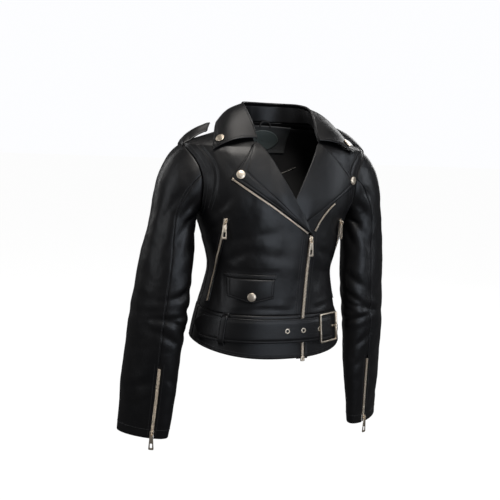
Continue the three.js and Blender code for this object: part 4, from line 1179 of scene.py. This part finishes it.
# %% The tree that repeats a shape along lines
def repeat_tree():
    tree = bpy.data.node_groups.new("repeat_along_lines", "GeometryNodeTree")
    face = tree.interface
    ids = {}
    face.new_socket("Geometry", in_out="INPUT", socket_type="NodeSocketGeometry")
    for label, kind in (("Pitch", "Float"), ("Side step", "Float"), ("Alternate", "Bool"),
                        ("Shape", "Object"), ("Finish", "Material")):
        ids[label] = face.new_socket(label, in_out="INPUT", socket_type=f"NodeSocket{kind}").identifier
    face.new_socket("Geometry", in_out="OUTPUT", socket_type="NodeSocketGeometry")

    def add(kind, inputs=(), **settings):
        made = tree.nodes.new(kind)
        for key, value in settings.items():
            setattr(made, key, value)
        for key, value in dict(inputs).items():
            if isinstance(value, bpy.types.NodeSocket):
                tree.links.new(value, made.inputs[key])
            else:
                made.inputs[key].default_value = value
        return made

    given = add("NodeGroupInput").outputs
    lines = add("GeometryNodeMeshToCurve", {"Mesh": given["Geometry"]})
    steps = add("GeometryNodeResampleCurve", {"Curve": lines.outputs[0], "Length": given["Pitch"]},
                mode="LENGTH")
    out = add("GeometryNodeInputNamedAttribute", {"Name": "out"}, data_type="FLOAT_VECTOR").outputs[0]
    tangent = add("GeometryNodeInputTangent").outputs[0]
    across = add("ShaderNodeVectorMath", {0: tangent, 1: out}, operation="CROSS_PRODUCT").outputs[0]
    odd = add("ShaderNodeMath", {0: add("GeometryNodeInputIndex").outputs[0], 1: 2.0},
              operation="MODULO").outputs[0]
    sign = add("ShaderNodeMath", {0: odd, 1: 2.0, 2: -1.0}, operation="MULTIPLY_ADD").outputs[0]
    side = add("GeometryNodeSwitch", {"Switch": given["Alternate"], "False": 1.0, "True": sign},
               input_type="FLOAT")
    amount = add("ShaderNodeMath", {0: side.outputs[0], 1: given["Side step"]},
                 operation="MULTIPLY").outputs[0]
    push = add("ShaderNodeVectorMath", {0: across, "Scale": amount}, operation="SCALE").outputs[0]
    faced = add("FunctionNodeAlignRotationToVector", {"Vector": tangent}, axis="Y")
    turned = add("FunctionNodeAlignRotationToVector", {"Rotation": faced.outputs[0], "Vector": out},
                 axis="Z", pivot_axis="Y")
    kept = add("GeometryNodeStoreNamedAttribute",
               {"Geometry": steps.outputs[0], "Name": "turned", "Value": turned.outputs[0]},
               data_type="QUATERNION", domain="POINT")
    shifted = add("GeometryNodeSetPosition", {"Geometry": kept.outputs[0], "Offset": push})
    read = add("GeometryNodeInputNamedAttribute", {"Name": "turned"}, data_type="QUATERNION").outputs[0]
    shape = add("GeometryNodeObjectInfo", {"Object": given["Shape"]}, transform_space="ORIGINAL")
    laid = add("GeometryNodeInstanceOnPoints",
               {"Points": shifted.outputs[0], "Instance": shape.outputs["Geometry"],
                                                "Rotation": read})
    real = add("GeometryNodeRealizeInstances", {"Geometry": laid.outputs[0]})
    painted = add("GeometryNodeSetMaterial", {"Geometry": real.outputs[0], "Material": given["Finish"]})
    add("NodeGroupOutput", {"Geometry": painted.outputs[0]})
    return tree, ids


tree, tree_ids = repeat_tree()


def repeat_along(name, lines, shape, material, pitch, side_step=0.0, alternate=False, smooth=False):
    """lines holds (points, outward normals) in millimetres; returns one plain mesh object."""
    vertices, edges, out = [], [], []
    for points, normals in lines:
        edges += [(len(vertices) + i, len(vertices) + i + 1) for i in range(len(points) - 1)]
        vertices += (np.asarray(points, float) * MM).tolist()
        out += np.asarray(normals, float).tolist()
    mesh = bpy.data.meshes.new(name + "_lines")
    mesh.from_pydata(vertices, edges, [])
    mesh.attributes.new("out", "FLOAT_VECTOR", "POINT").data.foreach_set("vector", np.ravel(out))
    guide = bpy.data.objects.new(name + "_lines", mesh)
    scene.collection.objects.link(guide)
    modifier = guide.modifiers.new("repeat", "NODES")
    modifier.node_group = tree
    for label, value in (("Pitch", pitch * MM), ("Side step", side_step * MM), ("Alternate", alternate),
                         ("Shape", shape), ("Finish", material)):
        modifier[tree_ids[label]] = value
    bpy.context.view_layer.update()
    made = bpy.data.meshes.new_from_object(guide.evaluated_get(bpy.context.evaluated_depsgraph_get()))
    for spare in [a.name for a in made.attributes if a.name in ("out", "turned")]:
        made.attributes.remove(made.attributes[spare])
    if smooth:
        made.shade_smooth()
    bpy.data.objects.remove(guide)
    piece = bpy.data.objects.new(name, made)
    scene.collection.objects.link(piece)
    print(name, len(made.polygons), "faces")
    return piece


# %% A tooth and a stitch
def small_shape(name, vertices, faces):
    mesh = bpy.data.meshes.new(name)
    mesh.from_pydata((np.asarray(vertices, float) * MM).tolist(), [], faces)
    shape = bpy.data.objects.new(name, mesh)
    scene.collection.objects.link(shape)
    shape.hide_render = True
    return shape


def tooth(name, across, along, tall):
    """A cast tooth: a low block whose head narrows towards the other row."""
    work = bmesh.new()
    bmesh.ops.create_cube(work, size=1)
    for v in work.verts:
        v.co = Vector((v.co.x * across, v.co.y * along * (1 if v.co.x < 0 else 0.82), v.co.z * tall))
    bmesh.ops.bevel(work, geom=work.edges, offset=0.28, segments=1, affect="EDGES")
    bmesh.ops.recalc_face_normals(work, faces=work.faces)
    work.verts.ensure_lookup_table()
    made = small_shape(name, [tuple(v.co) for v in work.verts],
                       [tuple(v.index for v in f.verts) for f in work.faces])
    work.free()
    return made


main_tooth = tooth("main_tooth", 3.9, 1.75, 2.1)
half_tooth = tooth("half_tooth", 3.5, 1.6, 2.1)
chest_tooth = tooth("chest_tooth", 2.9, 1.5, 1.3)
bow = [(0, -1.35, -0.35), (0, -1.05, 0.05), (0, -0.4, 0.22), (0, 0.4, 0.22), (0, 1.05, 0.05),
       (0, 1.35, -0.35)]
stitch = small_shape("stitch", *tube(bow, [0.16, 0.3, 0.34, 0.34, 0.3, 0.16], 6))

# %% [markdown]
# The closed zips get one line whose teeth alternate, and the two open halves of the front get a row each,
# along the edge that has parted. The rows of the front zip stand on a woven tape.

# %% Zip teeth and tapes
SHARE = np.linspace(0, 1, 160)


def raised(line, lift, share=SHARE):
    points, normals, _ = line(share)
    return points + normals * lift, normals


def teeth(name, node, lines, shape, pitch, side_step=0.0, alternate=False):
    piece = repeat_along(name, lines, shape, tooth_plating, pitch, side_step, alternate)
    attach(piece, "jacket")
    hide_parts(node)


teeth("teeth_front_closed", "main_zip_chain", [raised(main_line, -0.75)], main_tooth, 1.45, 1.25, True)
HALF_RIGHT = [(-114, -113), (-81, -135.5), (-36, -163.5), (10, -194.5), (39.5, -214.5)]
HALF_LEFT = [(100, -156), (88, -166), (76, -179), (65, -194), (57, -210)]


def half_line(points):
    flat = lambda v: round_corners(points, v, spread=0.05)
    return body_line(lambda v: turn_at(flat(v)[..., 0], flat(v)[..., 1]), lambda v: flat(v)[..., 1])


for name, points, lift in (("right", HALF_RIGHT, 2.2), ("left", HALF_LEFT, 1.7)):
    line = half_line(points)
    teeth(f"teeth_open_{name}", f"main_zip_teeth_{name}", [raised(line, lift)], half_tooth, 2.3)
    middle, normals, way = line(SHARE)
    across = unit(np.cross(normals, way))
    reach_in = np.array((0.6, 0.2, -3.0, -7.5, -9.5)) * (1 if name == "right" else 0.7)
    rows = [middle - across * r + normals * (lift - 1.55 - 0.5 * abs(r) / 9.5) for r in reach_in]
    tape = make_sheet(f"tape_open_{name}", np.stack(rows), 0.6, tape_cloth)
    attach(tape, "jacket")
for name in ("right", "left"):
    teeth(f"teeth_chest_{name}", f"chest_zip_chain_{name}", [raised(chest_lines[name], 1.1)], chest_tooth,
          1.25, 0.95, True)
    side = -1 if name == "right" else 1
    teeth(f"teeth_cuff_{name}", f"cuff_zip_chain_{name}", [raised(cuff_line(side), -0.75)], main_tooth, 1.45,
          1.25, True)

points, normals, way = main_line(SHARE)
across = unit(np.cross(way, normals))
tape = np.stack([points + across * r - normals * 3.25 for r in np.linspace(-13, 13, 8)])
tape_sheet = make_sheet("tape_front", tape, 0.6, tape_cloth)
declare(tape_sheet, np.swapaxes(tape, 0, 1), "main_zip_tape")

# %% [markdown]
# The chest zips lie in a slot with a narrow leather lip on each side, stitched down all round. The lips
# are pressed flat, so each is a low strip beside the teeth.

# %% Lips beside the chest zips, and the end stops
for name, side in (("right", -1), ("left", 1)):
    share = np.linspace(-0.0, 1.0, 120)
    points, normals, way = chest_lines[name](share)
    across = unit(np.cross(way, normals))
    for word, sign in (("inner", -1), ("outer", 1)):
        rows = np.array((2.9, 3.4, 4.6, 6.2, 7.6)) * sign
        lift = np.array((1.3, 1.75, 1.9, 1.65, 0.7))
        strip = np.stack([points + across * r + normals * h for r, h in zip(rows, lift)])
        lip = make_sheet(f"lip_{word}_{name}", strip, 1.2, leather)
        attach(lip, "jacket")
        sew(points + across * (6.1 * sign) + normals * 1.78)
front_turn = lambda x, z: (turn_at(np.array(float(x)), np.array(float(z))), z)
turn, z = front_turn(44, -474)
fitting("zip_end_box", [moved(plate(rounded(8.6, 9.5, 1.2), [rounded(2.2, 3.4, 0.6)], 3.6, 0.5), z=-0.4)],
        seat(skin(turn, z), out_of_body(turn, z), UP), "jacket")
points, normals, way = half_line(HALF_RIGHT)(np.array([0.0]))
fitting("zip_top_stop", [moved(plate(rounded(5.2, 3.4, 1.0), [], 2.6, 0.5), z=2.2)],
        seat(points[0] - way[0] * 1.0, normals[0], way[0]), "jacket")

# %% [markdown]
# The belt is a firm strap with stitched edges, three metal eyelets and a pointed end behind the side. Its
# free end goes through a loop, and a tab holds the buckle. It stands off the waistband on its own.

# %% Belt, loop and tab
BELT_MIDDLE, BELT_WIDTH, BELT_LIFT = BAND_TOP - 5.5 - 25.0, 50.0, 5.4
belt_end = float(turn_at(np.array(110.0), np.array(BELT_MIDDLE)))


def belt_at(turn, rise, lift=0.0):
    turn, rise = np.broadcast_arrays(np.asarray(turn, float), np.asarray(rise, float))
    z = BELT_MIDDLE + rise * BELT_WIDTH
    wave = 0.5 * wander(skin(turn, z), 70, 14.0)
    return over_skin(turn, z, BELT_LIFT + TWO_PLY + wave + lift)


share, rise = eased(170, 0.003), eased(20, 0.012) - 0.5
tip = 1 - 2 * np.abs(rise)[:, None]
turns = (-70 - 16 * tip) * (1 - share[None]) + belt_end * share[None]
crown = 1.2 * (1 - (2 * rise[:, None]) ** 6) + sewn_dip(rise[:, None], (-0.41, 0.41), 0.04, 1.2) + 0 * turns
points = belt_at(turns, rise[:, None], crown)
declare(make_sheet("belt", points, 2.4, leather), points, "belt_strap")
line = np.linspace(-70, belt_end - 1.4, 420)
for edge in (-0.41, 0.41):
    sew(belt_at(line, edge + 0 * line, 0.2))
tip_rise = np.concatenate([np.linspace(-0.41, 0, 20), np.linspace(0, 0.41, 20)[1:]])
sew(belt_at(-70 - 12.5 * (1 - np.abs(tip_rise) / 0.41), tip_rise, 0.3))
sew(belt_at(np.full(30, belt_end - 1.4), np.linspace(-0.43, 0.43, 30), 0.42))
EYELET = [(2.7, 0.0), (2.75, 0.55), (3.3, 1.0), (4.4, 1.05), (5.3, 0.7), (5.5, 0.1), (5.0, -0.1), (3.0, -0.4)]
for number, x in enumerate((5.0, 39.7, 77.5)):
    turn = float(turn_at(np.array(x), np.array(BELT_MIDDLE)))
    normal = out_of_body(turn, BELT_MIDDLE)
    point = belt_at(turn, 0.0, 0.42)
    fitting(f"belt_eyelet_{number}", [lathe(EYELET, 32, ring=True)], seat(point, normal, UP), "jacket")
    # Inside each eyelet lies a flat disc of dark lining cloth. It is painted shade standing in for the hole's
    # depth, since the strap is not cut through.
    fitting(f"belt_hole_{number}", [lathe([(0, -0.3), (2.9, -0.3), (2.9, 0.12), (0, 0.12)], 24)],
            seat(point, normal, UP), "jacket", material=lining_cloth)

turns, rise = np.linspace(float(turn_at(np.array(113.0), np.array(BELT_MIDDLE))), 84,
                          40), eased(18, 0.012) - 0.5
z = BELT_MIDDLE + rise[:, None] * (BELT_WIDTH - 6) + 0 * turns[None]
points = over_skin(turns[None] + 0 * z, z, 2.4)
declare(make_sheet("belt_tab", points, 1.5, leather), points, "belt_buckle_tab")
for row in (4, -6):
    sew(points[row] + out_of_body(turns, z[0]) * 0.12)


def belt_loop(name, x, node=None, half=7.0):
    middle = float(turn_at(np.array(float(x)), np.array(BELT_MIDDLE)))
    profile = catmull([(-35, 1.9), (-31, 2.3), (-29.6, 4.6), (-27.2, 8.6), (-23, 10.6), (0, 11.0), (23, 10.6),
                       (27.2, 8.6), (29.6, 4.6), (31, 2.3), (34, 1.9)], np.linspace(0, 1, 70))
    turns = middle + np.degrees(half / 140) * (2 * eased(12, 0.02) - 1)
    z = BELT_MIDDLE + profile[:, :1] + 0 * turns[None]
    points = over_skin(turns[None] + 0 * z, z, profile[:, 1:])
    loop = make_sheet(name, points, 2.2, leather)
    if node:
        declare(loop, points, node)
    else:
        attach(loop, "jacket")
    for share in (2, -3):
        sew(points[5:-5, share] + out_of_body(np.full(60, turns[share]), z[5:-5, 0]) * 0.12)


belt_loop("belt_loop_front", -117, "belt_loop_right")

# %% [markdown]
# The buckle is a rectangular frame: a thin bar in front and a thick heel bar that carries the prong. The
# prong goes through the strap from the last eyelet, so most of it is hidden behind the leather.

# %% Buckle
buckle_turn = float(turn_at(np.array(100.0), np.array(BELT_MIDDLE)))
buckle_normal = out_of_body(buckle_turn, BELT_MIDDLE)
buckle_seat = seat(skin(buckle_turn, BELT_MIDDLE) + buckle_normal * (BELT_LIFT + 1.4), buckle_normal, UP)
bars = moved(plate(rounded(54, 61, 3.4), [rounded(46.8, 53.8, 1.6)], 3.5, 1.15), z=1.8)
HEEL = (25.2, 0.0, 1.8)
heel = [(0, -28.2), (2.3, -28.2), (2.9, -27.4), (2.9, -5.6), (2.3, -4.9), (1.95, -4.4), (1.95, 4.4),
        (2.3, 4.9),
        (2.9, 5.6), (2.9, 27.4), (2.3, 28.2), (0, 28.2)]
upright = ((1, 0, 0), (0, 0, 1), (0, -1, 0))
fitting("buckle_bars", [bars, moved(lathe(heel, 28), *HEEL, turn=upright)], buckle_seat,
        "buckle_frame_body", "buckle_frame")
ring = [(2.25, -2.4), (3.3, -2.4), (3.85, -1.9), (3.85, 1.9), (3.3, 2.4), (2.25, 2.4)]
blade_outline = rounded(48, 2.9, 1.2)
tilt = -0.08
lean = ((math.cos(tilt), 0, math.sin(tilt)), (0, 1, 0), (-math.sin(tilt), 0, math.cos(tilt)))
fitting("buckle_pin", [moved(lathe(ring, 28, ring=True), *HEEL, turn=upright),
                       moved(plate(blade_outline, [], 1.2, 0.3), z=-3.6, turn=lean)],
        buckle_seat, "buckle_prong_body", "buckle_prong")

# %% [markdown]
# A shoulder strap is sewn in at the armhole and lies free towards the neck, with a pointed end. It
# lifts, so its leather bends from the jacket to its own body over its first two centimetres.

# %% Shoulder straps
strap_rows = smooth_rows([(0, 201, -50.2), (0.1, 196, -41), (0.55, 168, -18), (1, 139, -5)])


def strap_at(side, u, v, lift=0.0):
    u, v = np.broadcast_arrays(np.asarray(u, float), np.asarray(v, float))
    tip = 1 - np.abs(2 * v - 1)
    x, z = np.moveaxis(strap_rows(u * (0.86 + 0.14 * tip)), -1, 0)
    half = 19 - 4 * u
    droop = 3 * (1 - tip) ** 2 + 10 * np.clip(1 - 2 * v, 0, 1) ** 1.2 * np.clip(u * 3, 0, 1)
    return np.stack([side * x, AXIS_Y + half * (2 * v - 1), z - droop + lift], -1)


for name, side in (("right", -1), ("left", 1)):
    u, v = eased(70), eased(24)
    points = strap_at(side, u[:, None], v[None])
    rim = sewn_dip(v[None], (0.1, 0.9), 0.03, 0.6) + sewn_dip(u[:, None], (0.93,), 0.02, 0.6)
    strap = make_sheet(f"shoulder_strap_{name}", points + rim[..., None] * (0, 0, 1), 3.0, leather,
                       away=(side * 150, AXIS_Y, -120))
    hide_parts(f"epaulette_{name}")
    start, end = strap_at(side, 0.03, 0.5), strap_at(side, 0.24, 0.5)
    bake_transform(strap, "jacket", f"epaulette_{name}_body", start=tuple(start * MM), end=tuple(end * MM))
    body = f"epaulette_{name}_body"
    for v_edge in (0.1, 0.9):
        line = np.linspace(0.27, 0.93, 60)
        sew(strap_at(side, line, v_edge + 0 * line, 0.1), body)
    tip_line = np.linspace(0.1, 0.9, 60)
    sew(strap_at(side, 0.93 + 0 * tip_line, tip_line, 0.1), body)

# %% [markdown]
# Stitches come last, because every line is known now. All the lines of one body make one mesh of thread.

# %% Stitches
for body, lines in stitches.items():
    laid = []
    for points in lines:
        normals = unit((points - (0, AXIS_Y, 0)) * (1, 1, 0) + 1e-6)
        laid.append((points, normals))
    piece = repeat_along(f"stitches_{body}", laid, stitch, thread, 3.5, smooth=True)
    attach(piece, body)
for spare in (main_tooth, half_tooth, chest_tooth, stitch):
    bpy.data.objects.remove(spare)

# %% [markdown]
# A thin piping follows the lower edge of the neck facing, and the hanger loop keeps its own shape with a
# cloth finish.

# %% Piping and hanger loop
x = np.linspace(-66, 66, 60)
line = in_back(x * 1.35, -96 - 26 * (1 - (x / 66) ** 2), np.full(60, -7.8))
fitting("neck_piping", [tube(line, 0.75, 8)], Matrix.Identity(4), "jacket", material=make_cloth(
    "piping_cord", (0.25, 0.24, 0.22, 1), (0.36, 0.35, 0.33, 1), 900, 0.6))
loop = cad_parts["hanger_loop"]
loop.data.materials.clear()
loop.data.materials.append(tape_cloth)

# %% [markdown]
# The stage is a pale floor well below the jacket and a pale, even sky. A warm key high in front gives the
# leather its long highlights, a cool low light adds sheen to the chest, and narrow fills draw the sleeves.
# Two strips behind lift the outline, with a soft light above. The floor and the sky look bright to the
# camera but light the jacket little, because black leather would turn grey in them.

# %% Floor, light and camera
FLOOR_HALF, FLOOR_Z = 12, -0.76  # metres
floor_corners = [(x * FLOOR_HALF, y * FLOOR_HALF, FLOOR_Z) for x, y in ((-1, -1), (1, -1), (1, 1), (-1, 1))]
floor_mesh = bpy.data.meshes.new("floor")
floor_mesh.from_pydata(floor_corners, [], [(0, 1, 2, 3)])
floor = bpy.data.objects.new("floor", floor_mesh)
scene.collection.objects.link(floor)
floor_paint = Paint("floor_paint", Roughness=0.9, Specular_IOR_Level=0.0, Emission_Color=(1, 1, 1, 1),
                    Emission_Strength=0.97)
shade = floor_paint.noise(floor_paint.place(), 3.0)
floor_mesh.materials.append(floor_paint.finish(floor_paint.mix(shade, (0.08, 0.08, 0.08, 1),
                                                               (0.10, 0.10, 0.10, 1))))
floor.visible_diffuse = floor.visible_glossy = False

world = bpy.data.worlds.new("studio")
world.use_nodes = True
background = world.node_tree.nodes["Background"].inputs
background["Color"].default_value = (0.98, 0.985, 1.0, 1)
seen = world.node_tree.nodes.new("ShaderNodeLightPath")
level = world.node_tree.nodes.new("ShaderNodeMapRange")
level.inputs["To Min"].default_value, level.inputs["To Max"].default_value = 0.07, 1.0
world.node_tree.links.new(seen.outputs["Is Camera Ray"], level.inputs["Value"])
world.node_tree.links.new(level.outputs[0], background["Strength"])
scene.world = world
scene.view_settings.view_transform = "Standard"


def soft_light(name, at, aim, size, power, colour=(1, 1, 1)):
    data = bpy.data.lights.new(name, "AREA")
    data.shape, data.size, data.size_y, data.energy, data.color = "RECTANGLE", size[0], size[1], power, colour
    light = bpy.data.objects.new(name, data)
    light.location = at
    light.rotation_euler = (Vector(aim) - Vector(at)).to_track_quat("-Z", "Y").to_euler()
    scene.collection.objects.link(light)


CHEST = (0, -0.06, -0.25)
soft_light("key", (-0.2, -1.7, 1.7), CHEST, (0.8, 0.8), 38, (1, 0.96, 0.91))
soft_light("chest_sheen", (0.5, -2.3, -0.1), CHEST, (1.1, 1.2), 13, (0.80, 0.88, 1))
soft_light("right_fill", (1.9, -1.1, 0.4), CHEST, (0.5, 1.4), 11, (0.86, 0.92, 1))
soft_light("left_fill", (-2.0, -0.9, 0.2), CHEST, (0.5, 1.4), 6, (0.92, 0.95, 1))
soft_light("left_rim", (-1.6, 1.2, 0.6), CHEST, (0.5, 1.4), 10)
soft_light("right_rim", (1.6, 1.3, 0.6), CHEST, (0.5, 1.4), 10)
soft_light("top", (0, 0.1, 1.7), CHEST, (1.0, 1.0), 12, (1, 0.96, 0.92))

target = Vector((0, AXIS_Y, -268)) * MM
azimuth, elevation, roll = math.radians(-20), math.radians(9), math.radians(3)
back = Vector((math.sin(azimuth) * math.cos(elevation), -math.cos(azimuth) * math.cos(elevation),
               math.sin(elevation)))
right = Vector((0, 0, 1)).cross(back).normalized()
up = back.cross(right)
tilted = right * math.cos(roll) + up * math.sin(roll)
camera_data = bpy.data.cameras.new("camera")
camera_data.lens, camera_data.sensor_width, camera_data.shift_x = 61.1, 36, -0.036
camera = bpy.data.objects.new("camera", camera_data)
pose = Matrix((tilted, back.cross(tilted), back)).transposed().to_4x4()
pose.translation = target + back * 1.8
camera.matrix_world = pose
scene.collection.objects.link(camera)
scene.camera = camera
